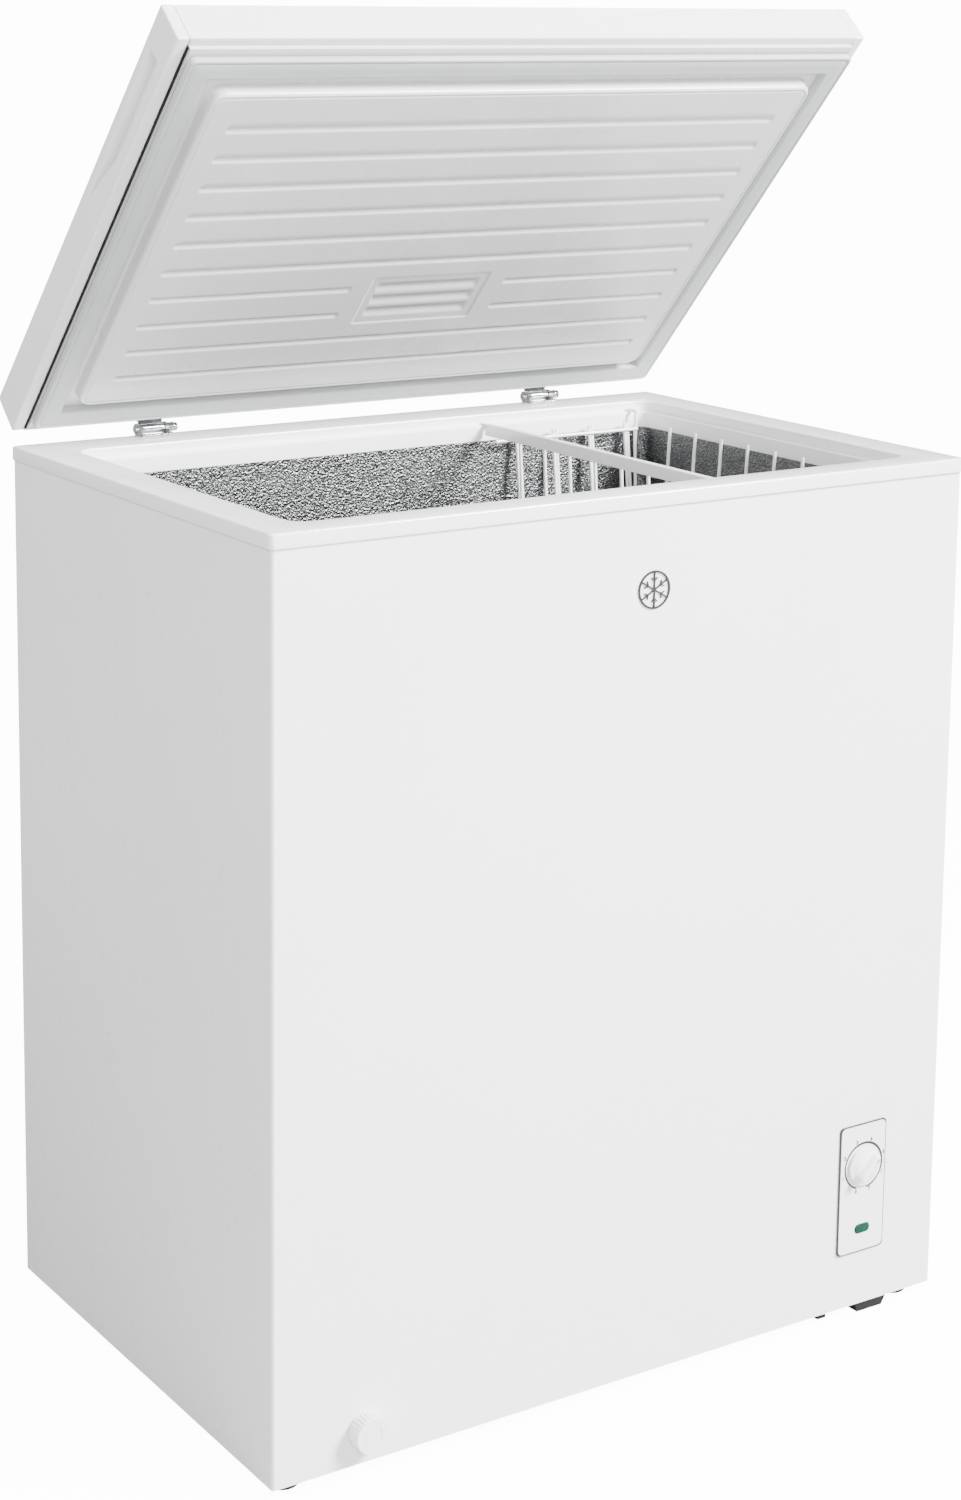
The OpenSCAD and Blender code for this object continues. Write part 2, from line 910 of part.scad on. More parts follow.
module hinge_pins() {
    color("silver")
        for (x = [-hinge_x, hinge_x]) {
            along_x(x - hinge_w / 2 - pin_head_t, x - hinge_w / 2, pivot_y, pivot_z, pin_head_r);
            along_x(x - hinge_w / 2, x + hinge_w / 2 + spring_w + 2, pivot_y, pivot_z, pin_r);
            along_x(
                x + hinge_w / 2 + spring_w + 1.6,
                x + hinge_w / 2 + spring_w + 1.6 + pin_head_t,
                pivot_y, pivot_z, pin_head_r
            );
        }
}

// Points of one ring of a spring's wire
function spring_ring(t, turns, r, w, wr) = [
    for (k = [0 : 5])
        let (a = 360 * turns * t, b = 60 * k, rr = r + wr * cos(b))
        [w * t + wr * sin(b), rr * cos(a), rr * sin(a)]
];

// A helical spring along X
module helix(turns, r, w, wr) {
    n = turns * 12;
    points = [for (i = [0 : n]) each spring_ring(i / n, turns, r, w, wr)];
    sides = [
        for (i = [0 : n - 1], k = [0 : 5])
            [i * 6 + k, i * 6 + (k + 1) % 6, (i + 1) * 6 + (k + 1) % 6, (i + 1) * 6 + k]
    ];
    first = [for (k = [0 : 5]) 5 - k];
    last = [for (k = [0 : 5]) n * 6 + k];
    polyhedron(points = points, faces = concat([first], sides, [last]), convexity = 8);
}

module hinge_springs() {
    color("silver")
        for (x = [-hinge_x, hinge_x])
            translate([x + hinge_w / 2 + 1, pivot_y, pivot_z])
                helix(spring_turns, spring_r, spring_l, wire_half);
}

module hinge_base_screws() {
    color("silver")
        for (x = [-hinge_x, hinge_x], dx = [-9, 9], dz = [35, 60]) {
            along_y(x + dx, rim_z - dz, in_back, collar_back + 2, 2);
            along_y(x + dx, rim_z - dz, collar_back + 2, collar_back + 4, 4);
        }
}

// The moving half of a hinge: barrel, flange up the lid's back and tab under its lip
module hinge_leaf(x) {
    x0 = x - hinge_w / 2 + ear_t + 0.4;
    x1 = x + hinge_w / 2 - ear_t - 0.4;
    color("lightgray")
        on_lid()
            difference() {
                union() {
                    along_x(x0, x1, pivot_y, pivot_z, barrel_r);
                    block(x0, x1, lid_back, lid_back + leaf_t, pivot_z, lip_z + 26);
                    block(x0, x1, lid_back - 10, lid_back + eps, lip_z - leaf_t, lip_z);
                }
                along_x(x0 - 1, x1 + 1, pivot_y, pivot_z, pin_r + run_gap);
                leaf_screw_holes();
            }
}

// Holes for the screws that hold the leaves to the lid
module leaf_screw_holes() {
    for (x = [-hinge_x, hinge_x], dx = [-6, 6], dz = [9, 20])
        along_y(x + dx, lip_z + dz, lid_back - 2, lid_back + 3, 2.1);
}

module hinge_leaf_left() {
    hinge_leaf(-hinge_x);
}

module hinge_leaf_right() {
    hinge_leaf(hinge_x);
}

module hinge_leaf_screws() {
    color("silver")
        on_lid()
            for (x = [-hinge_x, hinge_x], dx = [-6, 6], dz = [9, 20]) {
                along_y(x + dx, lip_z + dz, lid_back - sheet, lid_back + leaf_t, 2);
                along_y(x + dx, lip_z + dz, lid_back + leaf_t, lid_back + leaf_t + 1.6, 3.6);
            }
}

module lid_outer_shell() {
    shell_x = cab_x - trim_w;
    color("white")
        on_lid()
            difference() {
                block(-shell_x, shell_x, lid_front, lid_back, lip_z, lid_top);
                block(
                    -shell_x - 1, shell_x + 1, lid_front + sheet, lid_back - sheet,
                    lip_z - 1, lid_top - sheet
                );
                leaf_screw_holes();
            }
}

// The end cap of the lid with its finger recess, drawn for the left side
module lid_trim() {
    difference() {
        block(-cab_x, -cab_x + trim_w, lid_front, lid_back, lip_z, lid_top + trim_over);
        translate([-cab_x + 9, 0, 0])
            rotate([90, 0, -90])
                linear_extrude(10)
                    polygon([
                        [-lid_back + 282, lip_z + 31],
                        [-lid_back + 318, lip_z + 22],
                        [-lid_back + 352, lip_z + 13],
                        [-lid_back + 459, lip_z + 13],
                        [-lid_back + 459, lip_z + 31]
                    ]);
    }
}

module lid_trim_left() {
    color("white")
        on_lid()
            lid_trim();
}

module lid_trim_right() {
    color("white")
        on_lid()
            mirror([1, 0, 0])
                lid_trim();
}

module lid_foam() {
    color("khaki")
        on_lid() {
            block(
                -cab_x + trim_w, cab_x - trim_w, lid_front + sheet, lid_back - sheet,
                lip_z + skin, lid_top - sheet
            );
            plinth_space(-plinth_wall, lip_z - plinth_h + face_t, lip_z + skin + eps);
        }
}

// The lid's plinth between two heights, grown outwards
module plinth_space(grow, z0, z1) {
    translate([0, (plinth_back + plinth_front) / 2, z0])
        linear_extrude(z1 - z0)
            rounded(2 * (plinth_x + grow), plinth_back - plinth_front + 2 * grow, 12 + grow);
}

// A groove with round ends, pressed into a face that lies at a given height
module groove(x0, x1, y, face) {
    z = face - rib_r + rib_deep;
    along_x(x0 + rib_r, x1 - rib_r, y, z, rib_r);
    for (x = [x0 + rib_r, x1 - rib_r])
        translate([x, y, z])
            sphere(rib_r);
}

// The plinth's grooves, with the middle left free for the louvre on two rows
module plinth_grooves() {
    face = lip_z - plinth_h;
    for (i = [0 : ribs - 1]) {
        y = rib_mid + (i - (ribs - 1) / 2) * rib_pitch;
        if (abs(y - louvre_y) < rib_pitch * 0.9) {
            groove(-rib_x, -louvre_x - 3, y, face);
            groove(louvre_x + 3, rib_x, y, face);
        } else {
            groove(-rib_x, rib_x, y, face);
        }
    }
}

// The sunk panel with three deeper grooves in the middle of the plinth
module plinth_louvre() {
    face = lip_z - plinth_h;
    block(-64, 64, louvre_y - 31, louvre_y + 31, face - 1, face + 1);
    for (i = [-1 : 1])
        groove(-54, 54, louvre_y + 16 * i, face + 0.8);
}

module lid_inner_liner() {
    shell_x = cab_x - trim_w;
    color("gainsboro")
        on_lid() {
            difference() {
                union() {
                    block(
                        -shell_x, shell_x, lid_front + sheet, lid_back - sheet,
                        lip_z, lip_z + skin
                    );
                    block(-seat_x, seat_x, seat_front, seat_back, lip_z - seat_h, lip_z);
                    plinth_space(0, lip_z - plinth_h, lip_z);
                }
                plinth_space(-plinth_wall, lip_z - plinth_h + face_t, lip_z + skin + 1);
                plinth_grooves();
                plinth_louvre();
            }
        }
}

// A flat ring under the lid between two heights, inset from the gasket's outline
module gasket_ring(inset, width, z0, z1) {
    difference() {
        block(
            -gasket_x + inset, gasket_x - inset, gasket_front + inset,
            gasket_back - inset, z0, z1
        );
        block(
            -gasket_x + inset + width, gasket_x - inset - width,
            gasket_front + inset + width, gasket_back - inset - width, z0 - 1, z1 + 1
        );
    }
}

module lid_gasket() {
    z0 = lip_z - seat_h - gasket_h;
    color("lightgray")
        on_lid() {
            gasket_ring(0, gasket_w, z0, z0 + 5);
            gasket_ring(6, 11, z0 + 5 - eps / 2, z0 + gasket_h);
        }
}

module thermostat_knob() {
    face_y = front_y - panel_t - knob_gap;
    color("white") {
        along_y(knob_x, knob_z, face_y - 3, face_y, knob_r);
        along_y(knob_x, knob_z, face_y - knob_t, face_y, knob_r - 4);
        translate([knob_x, face_y, knob_z])
            rotate([0, -45, 0])
                block(-(knob_r - 3), knob_r - 3, -knob_t - 5, -1, -4, 4);
        along_y(knob_x, knob_z, face_y - 1, front_y + 22, shaft_r);
    }
}

module basket_rail() {
    color("white") {
        block(
            basket_x - 1, basket_x + 6, open_y - well_d / 2 - 6, open_y + well_d / 2 + 6,
            ledge_z + 0.3, rail_top
        );
        block(
            basket_x - 1, basket_x + 1, well_front + 3, well_back - 3,
            rail_top - 12, rail_top
        );
    }
}

// Wires of a side wall, leaning in from the top to the bottom
module side_wall(x_top, x_low, top) {
    for (y = wire_y)
        pipe([x_top, y, top], [x_low, y, basket_low], wire_r);
}

module basket_left_wires() {
    x_low = basket_x + 4 + side_lean;
    color("white") {
        side_wall(basket_x + 1 + wire_r, x_low, rail_top - 3);
        for (t = [0.5, 0.97])
            along_y(
                basket_x + weld_in + side_lean * t, basket_top - basket_h * t,
                basket_y - basket_d / 2 + end_lean * t, basket_y + basket_d / 2 - end_lean * t,
                wire_r
            );
    }
}

module basket_right_wires() {
    color("white") {
        side_wall(basket_end - 2, basket_end - 2 - side_lean, basket_top);
        for (t = [0.5, 0.97])
            along_y(
                basket_end - weld_in - side_lean * t, basket_top - basket_h * t,
                basket_y - basket_d / 2 + end_lean * t, basket_y + basket_d / 2 - end_lean * t,
                wire_r
            );
    }
}

// Double bars, cross wires and corner hook of an end wall; side is 1 at the rear and -1 at the front
module end_wall(side) {
    y_top = basket_y + side * basket_d / 2;
    y_low = y_top - side * end_lean;
    cross_in = weld_in + wire_r + weld_gap;
    corner_low = basket_end - 8 - side_lean - 0.5;
    for (x = bar_x, dx = [-wire_r, wire_r])
        pipe([x + dx, y_top, basket_top], [x + dx, y_low, basket_low], wire_r);
    for (t = [0.03, 0.5, 0.97])
        along_x(
            basket_x + cross_in + side_lean * t, basket_end - cross_in - side_lean * t,
            y_top - side * (end_lean * t + 2.6), basket_top - basket_h * t, wire_r
        );
    pipe([basket_end - 8, y_top, basket_top - 6], [corner_low, y_low, basket_low], wire_r);
    pipe_run([
        [basket_end - 8, y_top - side * 1.5, basket_top - 20],
        [basket_end - 8, y_top - side * 1.5, ledge_z + 0.3 + wire_r],
        [basket_end - 8, open_y + side * (well_d / 2 + 6), ledge_z + 0.3 + wire_r]
    ], wire_r);
}

module basket_rear_wires() {
    color("white")
        end_wall(1);
}

module basket_front_wires() {
    color("white")
        end_wall(-1);
}

module basket_floor_wires() {
    x0 = basket_x + 4 + side_lean;
    x1 = basket_end - 2 - side_lean;
    reach = basket_d / 2 - end_lean - wire_r - weld_gap;
    color("white") {
        for (y = wire_y)
            along_x(x0, x1, y, basket_low, wire_r);
        for (x = bar_x)
            along_y(x, basket_low + 2.6, basket_y - reach, basket_y + reach, wire_r);
    }
}

cabinet_wrap();
rear_panel();
bottom_panel();
bay_partition();
rear_bay_cover();
bay_cover_screws();
side_vent_grille();
compressor_base_plate();
leveling_feet();
top_collar();
throat_frame();
inner_liner();
foam_left();
foam_right();
foam_front();
foam_rear();
foam_floor();
foam_step();
evaporator_coil();
condenser_coil();
compressor();
compressor_grommets();
compressor_bolts();
start_relay_cover();
filter_drier();
suction_tube();
discharge_tube();
thermostat_body();
control_panel_plate();
pilot_lamp();
wiring_harness();
cord_gland();
drain_tube();
drain_flange();
front_emblem();
hinge_base_left();
hinge_base_right();
hinge_pins();
hinge_springs();
hinge_base_screws();
lid_outer_shell();
lid_trim_left();
lid_trim_right();
lid_foam();
lid_inner_liner();
lid_gasket();
hinge_leaf_left();
hinge_leaf_right();
hinge_leaf_screws();
thermostat_knob();
drain_spout();
drain_cap();
floor_drain_plug();
basket_rail();
basket_left_wires();
basket_right_wires();
basket_rear_wires();
basket_front_wires();
basket_floor_wires();
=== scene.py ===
import json
import math

import bmesh
import bpy
from mathutils import Matrix, Vector


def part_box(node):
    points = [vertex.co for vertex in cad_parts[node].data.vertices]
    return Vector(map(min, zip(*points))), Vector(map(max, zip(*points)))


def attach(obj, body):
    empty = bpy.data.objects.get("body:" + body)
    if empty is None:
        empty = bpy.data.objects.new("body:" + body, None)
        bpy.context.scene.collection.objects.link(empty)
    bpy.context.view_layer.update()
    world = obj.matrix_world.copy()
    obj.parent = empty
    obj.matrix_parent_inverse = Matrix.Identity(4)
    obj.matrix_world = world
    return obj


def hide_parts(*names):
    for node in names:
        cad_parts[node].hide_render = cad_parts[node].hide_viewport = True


# A chest freezer with its lid open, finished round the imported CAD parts.
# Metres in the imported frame: x to the right seen from the front, y to the back, z up.
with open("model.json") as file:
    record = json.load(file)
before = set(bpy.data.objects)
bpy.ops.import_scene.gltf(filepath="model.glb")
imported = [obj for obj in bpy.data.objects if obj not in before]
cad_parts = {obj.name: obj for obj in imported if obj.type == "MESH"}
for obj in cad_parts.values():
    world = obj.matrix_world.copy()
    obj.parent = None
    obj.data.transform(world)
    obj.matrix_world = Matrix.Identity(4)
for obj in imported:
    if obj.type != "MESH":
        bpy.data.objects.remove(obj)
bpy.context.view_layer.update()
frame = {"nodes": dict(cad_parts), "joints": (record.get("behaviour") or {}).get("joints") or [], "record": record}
NODES = frame["nodes"]
MM = 0.001


# ---------------------------------------------------------------- frame facts
def low(node):
    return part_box(node)[0]


def high(node):
    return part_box(node)[1]


LID_JOINT = next(j for j in frame["joints"] if j["name"] == "lid_hinge")
PIVOT = Vector(LID_JOINT["pos_m"])
LID_OPEN = math.radians(-LID_JOINT["range_deg"][0])
OPEN_LID = (
    Matrix.Translation(PIVOT)
    @ Matrix.Rotation(-LID_OPEN, 4, "X")
    @ Matrix.Translation(-PIVOT)
)
RIM_Z = high("top_collar").z
# Height of the closed lid's lip above the rim
LID_GAP = 12.8 * MM
LIP_Z = RIM_Z + LID_GAP


# ---------------------------------------------------------------- camera
# Fitted to points of the freezer in the photograph
CAMERA_AT = (-1.4204, -2.1425, 1.2496)
AZIMUTH, ELEVATION, ROLL = (math.radians(v) for v in (-33.494, 9.492, 0.669))
LENS = 67.33
SENSOR = 36.0
SHIFT_Y = -0.1967
CLIP = (0.05, 50.0)


def make_camera():
    back = Vector((
        math.sin(AZIMUTH) * math.cos(ELEVATION),
        -math.cos(AZIMUTH) * math.cos(ELEVATION),
        math.sin(ELEVATION),
    ))
    right = Vector((0, 0, 1)).cross(back).normalized()
    up = back.cross(right)
    rolled_right = math.cos(ROLL) * right + math.sin(ROLL) * up
    rolled_up = -math.sin(ROLL) * right + math.cos(ROLL) * up
    data = bpy.data.cameras.new("camera")
    data.sensor_fit = "AUTO"
    data.sensor_width = SENSOR
    data.lens = LENS
    data.shift_x = 0.0
    data.shift_y = SHIFT_Y
    data.clip_start, data.clip_end = CLIP
    camera = bpy.data.objects.new("camera", data)
    bpy.context.scene.collection.objects.link(camera)
    turn = Matrix((rolled_right, rolled_up, back)).transposed().to_4x4()
    camera.matrix_world = Matrix.Translation(CAMERA_AT) @ turn
    bpy.context.scene.camera = camera


make_camera()


# ---------------------------------------------------------------- materials
class Mat:
    """A node material with a few helpers for procedural detail."""

    def __init__(self, name, colour, rough, metallic=0.0, coat=0.0, coat_rough=0.08, spec=0.5):
        self.mat = bpy.data.materials.new(name)
        self.mat.use_nodes = True
        self.tree = self.mat.node_tree
        self.bsdf = self.tree.nodes["Principled BSDF"]
        self.bsdf.inputs["Base Color"].default_value = (*colour, 1)
        self.bsdf.inputs["Roughness"].default_value = rough
        self.bsdf.inputs["Metallic"].default_value = metallic
        self.bsdf.inputs["Coat Weight"].default_value = coat
        self.bsdf.inputs["Coat Roughness"].default_value = coat_rough
        self.bsdf.inputs["Specular IOR Level"].default_value = spec
        self.colour = colour
        self.rough = rough
        self.coords = self.node("ShaderNodeTexCoord").outputs["Object"]
        self.normal = None

    def node(self, kind):
        return self.tree.nodes.new(kind)

    def link(self, a, b):
        self.tree.links.new(a, b)

    def stretched(self, scale):
        n = self.node("ShaderNodeMapping")
        n.inputs["Scale"].default_value = scale
        self.link(self.coords, n.inputs["Vector"])
        return n.outputs["Vector"]

    def noise(self, scale, detail, rough=0.5, stretch=None):
        n = self.node("ShaderNodeTexNoise")
        n.inputs["Scale"].default_value = scale
        n.inputs["Detail"].default_value = detail
        n.inputs["Roughness"].default_value = rough
        self.link(self.stretched(stretch) if stretch else self.coords, n.inputs["Vector"])
        return n.outputs["Fac"]

    def ranged(self, value, from_min, from_max, to_min, to_max):
        """Maps a value from one range onto another."""
        n = self.node("ShaderNodeMapRange")
        n.inputs["From Min"].default_value = from_min
        n.inputs["From Max"].default_value = from_max
        n.inputs["To Min"].default_value = to_min
        n.inputs["To Max"].default_value = to_max
        self.link(value, n.inputs["Value"])
        return n.outputs["Result"]

    def vary_colour(self, other, scale, lo=0.4, hi=0.65):
        """Drifts the colour towards another one in soft patches."""
        fac = self.ranged(self.noise(scale, 4.0), lo, hi, 0.0, 1.0)
        n = self.node("ShaderNodeMix")
        n.data_type = "RGBA"
        n.inputs["A"].default_value = (*self.colour, 1)
        n.inputs["B"].default_value = (*other, 1)
        current = self.bsdf.inputs["Base Color"]
        if current.is_linked:
            self.link(current.links[0].from_socket, n.inputs["A"])
        self.link(fac, n.inputs["Factor"])
        self.link(n.outputs["Result"], current)
        return self

    def vary_rough(self, spread, scale):
        """Lets the roughness wander by the spread to either side."""
        patches = self.noise(scale, 5.0, 0.6)
        value = self.ranged(patches, 0.3, 0.7, self.rough - spread, self.rough + spread)
        self.link(value, self.bsdf.inputs["Roughness"])
        return self

    def bump(self, height, strength, distance):
        """Adds one more layer of relief on top of those already there."""
        n = self.node("ShaderNodeBump")
        n.inputs["Strength"].default_value = strength
        n.inputs["Distance"].default_value = distance
        self.link(height, n.inputs["Height"])
        if self.normal:
            self.link(self.normal, n.inputs["Normal"])
        self.normal = n.outputs["Normal"]
        self.link(self.normal, self.bsdf.inputs["Normal"])
        return self

    def grain(self, scale, strength, distance, detail=2.0, stretch=None):
        return self.bump(self.noise(scale, detail, stretch=stretch), strength, distance)

    def cells(self, scale, strength, distance):
        n = self.node("ShaderNodeTexVoronoi")
        n.feature = "SMOOTH_F1"
        n.inputs["Scale"].default_value = scale
        self.link(self.coords, n.inputs["Vector"])
        return self.bump(n.outputs["Distance"], strength, distance)


def white_enamel():
    m = Mat("white_enamel", (0.86, 0.86, 0.86), 0.3, coat=0.35, coat_rough=0.12)
    m.vary_colour((0.83, 0.835, 0.84), 2.5).vary_colour((0.875, 0.87, 0.86), 9.0, lo=0.5, hi=0.8)
    m.vary_rough(0.06, 14.0)
    m.grain(420.0, 0.22, 0.00006).grain(6.0, 0.06, 0.0006, 1.0)
    return m.mat


def gloss_white_plastic():
    m = Mat("gloss_white_plastic", (0.87, 0.87, 0.865), 0.16, coat=0.6, coat_rough=0.05)
    m.vary_colour((0.84, 0.845, 0.85), 5.0)
    m.vary_rough(0.05, 22.0)
    m.grain(260.0, 0.1, 0.00004).grain(12.0, 0.15, 0.0006, 1.0)
    return m.mat


def white_plastic():
    m = Mat("white_plastic", (0.84, 0.84, 0.835), 0.34, coat=0.1, coat_rough=0.2)
    m.vary_colour((0.8, 0.805, 0.805), 11.0)
    m.vary_rough(0.06, 30.0)
    m.grain(900.0, 0.2, 0.00004).grain(45.0, 0.1, 0.0002, 1.0)
    return m.mat


def lid_liner_plastic():
    m = Mat("lid_liner_plastic", (0.61, 0.612, 0.605), 0.3, coat=0.25, coat_rough=0.16)
    m.vary_colour((0.58, 0.583, 0.578), 3.0).vary_colour((0.64, 0.64, 0.635), 14.0, lo=0.5, hi=0.8)
    m.vary_rough(0.07, 12.0)
    m.grain(600.0, 0.16, 0.00004).grain(9.0, 0.06, 0.0005, 1.0)
    return m.mat


def grey_plastic():
    m = Mat("grey_plastic", (0.55, 0.56, 0.57), 0.42)
    m.vary_colour((0.5, 0.51, 0.52), 20.0).vary_rough(0.06, 40.0).grain(1100.0, 0.25, 0.00005)
    return m.mat


def black_plastic():
    m = Mat("black_plastic", (0.022, 0.022, 0.023), 0.48)
    m.vary_colour((0.035, 0.035, 0.036), 30.0).vary_rough(0.1, 50.0).grain(1000.0, 0.3, 0.00006)
    return m.mat


def black_rubber():
    m = Mat("black_rubber", (0.007, 0.007, 0.007), 0.7, spec=0.2)
    m.vary_colour((0.016, 0.016, 0.015), 40.0).vary_rough(0.1, 60.0).grain(1400.0, 0.4, 0.00006)
    return m.mat


def gasket_vinyl():
    m = Mat("gasket_vinyl", (0.43, 0.44, 0.445), 0.5, coat=0.05, coat_rough=0.4)
    m.vary_colour((0.39, 0.4, 0.405), 8.0).vary_rough(0.08, 26.0)
    m.grain(800.0, 0.25, 0.00005).grain(40.0, 0.25, 0.0004, 1.0)
    return m.mat


def embossed_aluminium():
    m = Mat("embossed_aluminium", (0.185, 0.188, 0.19), 0.36, metallic=1.0)
    m.vary_colour((0.11, 0.113, 0.116), 380.0, lo=0.42, hi=0.62).vary_rough(0.09, 260.0)
    m.cells(620.0, 1.0, 0.0013).grain(900.0, 0.5, 0.0005)
    return m.mat


def bright_steel():
    m = Mat("hinge_steel", (0.64, 0.65, 0.66), 0.18, metallic=1.0)
    m.vary_colour((0.4, 0.41, 0.42), 60.0).vary_rough(0.09, 160.0)
    m.grain(500.0, 0.25, 0.00008, stretch=(1.0, 8.0, 8.0)).grain(70.0, 0.15, 0.0002, 1.0)
    return m.mat


def plate_steel():
    m = Mat("plate_steel", (0.5, 0.5, 0.51), 0.4, metallic=1.0)
    m.vary_colour((0.42, 0.425, 0.44), 45.0).vary_rough(0.1, 80.0).cells(90.0, 0.1, 0.0002)
    return m.mat


def grey_coating():
    m = Mat("grey_coating", (0.58, 0.59, 0.6), 0.42, metallic=0.35)
    m.vary_colour((0.555, 0.565, 0.578), 16.0).vary_rough(0.08, 60.0)
    m.grain(700.0, 0.2, 0.00005).grain(5.0, 0.08, 0.0008, 1.0)
    return m.mat


def dark_paint():
    m = Mat("dark_paint", (0.006, 0.006, 0.0065), 0.5, spec=0.2)
    m.vary_colour((0.011, 0.011, 0.011), 18.0).vary_rough(0.1, 40.0).grain(500.0, 0.3, 0.00008)
    return m.mat


def foam():
    m = Mat("foam", (0.76, 0.66, 0.4), 0.85)
    m.vary_colour((0.68, 0.56, 0.3), 30.0).vary_rough(0.08, 60.0).cells(500.0, 0.5, 0.0006)
    return m.mat


def copper():
    m = Mat("copper", (0.72, 0.38, 0.24), 0.3, metallic=1.0)
    m.vary_colour((0.42, 0.2, 0.12), 30.0).vary_rough(0.1, 70.0).grain(600.0, 0.2, 0.00005)
    return m.mat


def steel_tube():
    m = Mat("steel_tube", (0.22, 0.22, 0.23), 0.42, metallic=0.8)
    m.vary_colour((0.14, 0.14, 0.15), 40.0).vary_rough(0.1, 70.0).grain(700.0, 0.2, 0.00005)
    return m.mat


def lamp_green():
    m = Mat("lamp_green", (0.001, 0.032, 0.019), 0.3, spec=0.15)
    m.bsdf.inputs["Transmission Weight"].default_value = 0.1
    m.vary_colour((0.002, 0.055, 0.034), 160.0).vary_rough(0.04, 200.0)
    m.grain(300.0, 0.3, 0.0002, stretch=(1.0, 0.1, 0.1))
    return m.mat


def wire_insulation():
    m = Mat("wire_insulation", (0.05, 0.12, 0.42), 0.45)
    m.vary_colour((0.04, 0.09, 0.34), 60.0).vary_rough(0.06, 90.0).grain(900.0, 0.2, 0.00004)
    return m.mat


def basket_coating():
    m = Mat("basket_coating", (0.86, 0.86, 0.855), 0.26, coat=0.4, coat_rough=0.1)
    m.vary_colour((0.8, 0.805, 0.81), 30.0).vary_rough(0.06, 60.0)
    m.grain(300.0, 0.2, 0.00012).grain(1200.0, 0.1, 0.00003)
    return m.mat


def emblem_grey():
    m = Mat("emblem_grey", (0.012, 0.012, 0.013), 0.4, coat=0.1)
    m.vary_colour((0.02, 0.02, 0.022), 90.0).vary_rough(0.06, 200.0).grain(1200.0, 0.15, 0.00003)
    return m.mat


MATERIALS = {
    "white_enamel": white_enamel(),
    "gloss_white_plastic": gloss_white_plastic(),
    "white_plastic": white_plastic(),
    "lid_liner_plastic": lid_liner_plastic(),
    "grey_plastic": grey_plastic(),
    "black_plastic": black_plastic(),
    "black_rubber": black_rubber(),
    "gasket_vinyl": gasket_vinyl(),
    "embossed_aluminium": embossed_aluminium(),
    "hinge_steel": bright_steel(),
    "plate_steel": plate_steel(),
    "grey_coating": grey_coating(),
    "dark_paint": dark_paint(),
    "foam": foam(),
    "copper": copper(),
    "steel_tube": steel_tube(),
    "lamp_green": lamp_green(),
    "wire_insulation": wire_insulation(),
    "basket_coating": basket_coating(),
    "emblem_grey": emblem_grey(),
}
SLOT_OF = {s["node"]: s["material_slot"] for s in frame["record"]["subparts"]}
BODY_OF = {
    node: body
    for body, members in frame["record"]["behaviour"]["bodies"].items()
    for node in members
}
for name, obj in NODES.items():
    for slot in obj.material_slots:
        slot.material = MATERIALS[SLOT_OF[name]]
    if not obj.material_slots:
        obj.data.materials.append(MATERIALS[SLOT_OF[name]])


# ---------------------------------------------------------------- piece helpers
# Points nearer to each other than this are one point
WELD_GAP = 2e-6
# Faces that turn less than this from one to the next are one flat face
FLAT_ANGLE = math.radians(0.5)
# Edges that turn more than this are rounded
SHARP_ANGLE = math.radians(30.0)
# Share of its volume that a part may gain or lose when flat faces are merged, and when it is rounded
MERGE_CHANGE = 0.002
ROUNDING_CHANGE = 0.05


def place(obj, body, slot):
    obj.data.materials.clear()
    obj.data.materials.append(MATERIALS[slot])
    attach(obj, body)
    return obj


def mesh_object(name, bm, body, slot, smooth_angle=40.0):
    mesh = bpy.data.meshes.new(name)
    bmesh.ops.recalc_face_normals(bm, faces=bm.faces)
    limit = math.radians(smooth_angle)
    for edge in bm.edges:
        edge.smooth = len(edge.link_faces) == 2 and edge.calc_face_angle(0.0) < limit
    for face in bm.faces:
        face.smooth = True
    bm.to_mesh(mesh)
    bm.free()
    obj = bpy.data.objects.new(name, mesh)
    bpy.context.scene.collection.objects.link(obj)
    return place(obj, body, slot)


def volume(bm):
    copy = bm.copy()
    bmesh.ops.triangulate(copy, faces=copy.faces)
    out = abs(copy.calc_volume(signed=True))
    copy.free()
    return out


def refine(node, width, keep=None, segments=3):
    """A copy of a CAD node with its sharp edges rounded, which stands for the node."""
    base = bmesh.new()
    base.from_mesh(NODES[node].data)
    bmesh.ops.remove_doubles(base, verts=base.verts, dist=WELD_GAP)
    whole = volume(base)
    bm = base.copy()
    bmesh.ops.dissolve_limit(bm, angle_limit=FLAT_ANGLE, verts=bm.verts, edges=bm.edges)
    if abs(volume(bm) - whole) > MERGE_CHANGE * whole:
        bm.free()
        bm = base.copy()
    plain = bm.copy()
    edges = [
        e for e in bm.edges
        if len(e.link_faces) == 2
        and e.calc_face_angle(0.0) > SHARP_ANGLE
        and (keep is None or keep(e))
    ]
    if edges:
        bmesh.ops.bevel(
            bm, geom=edges, offset=width, offset_type="OFFSET", segments=segments,
            profile=0.5, affect="EDGES", clamp_overlap=True,
        )
    if abs(volume(bm) - whole) > ROUNDING_CHANGE * whole:
        print("refine kept plain:", node)
        bm.free()
        bm = plain
    else:
        plain.free()
    base.free()
    obj = mesh_object(node + ".soft", bm, BODY_OF[node], SLOT_OF[node])
    even = obj.modifiers.new("even_normals", "WEIGHTED_NORMAL")
    even.keep_sharp = True
    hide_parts(node)
    return obj


# ---------------------------------------------------------------- floor and light
# Glow of the backdrop that only the camera sees, so that it comes out white
WHITE_OUT = 13.0
WORLD_LIGHT = 0.3
SWEEP_HALF = 6.0
SWEEP_BACK = 5.0
SWEEP_TOP = 3.5
SWEEP_BEND = 1.5
SWEEP_STEPS = 24


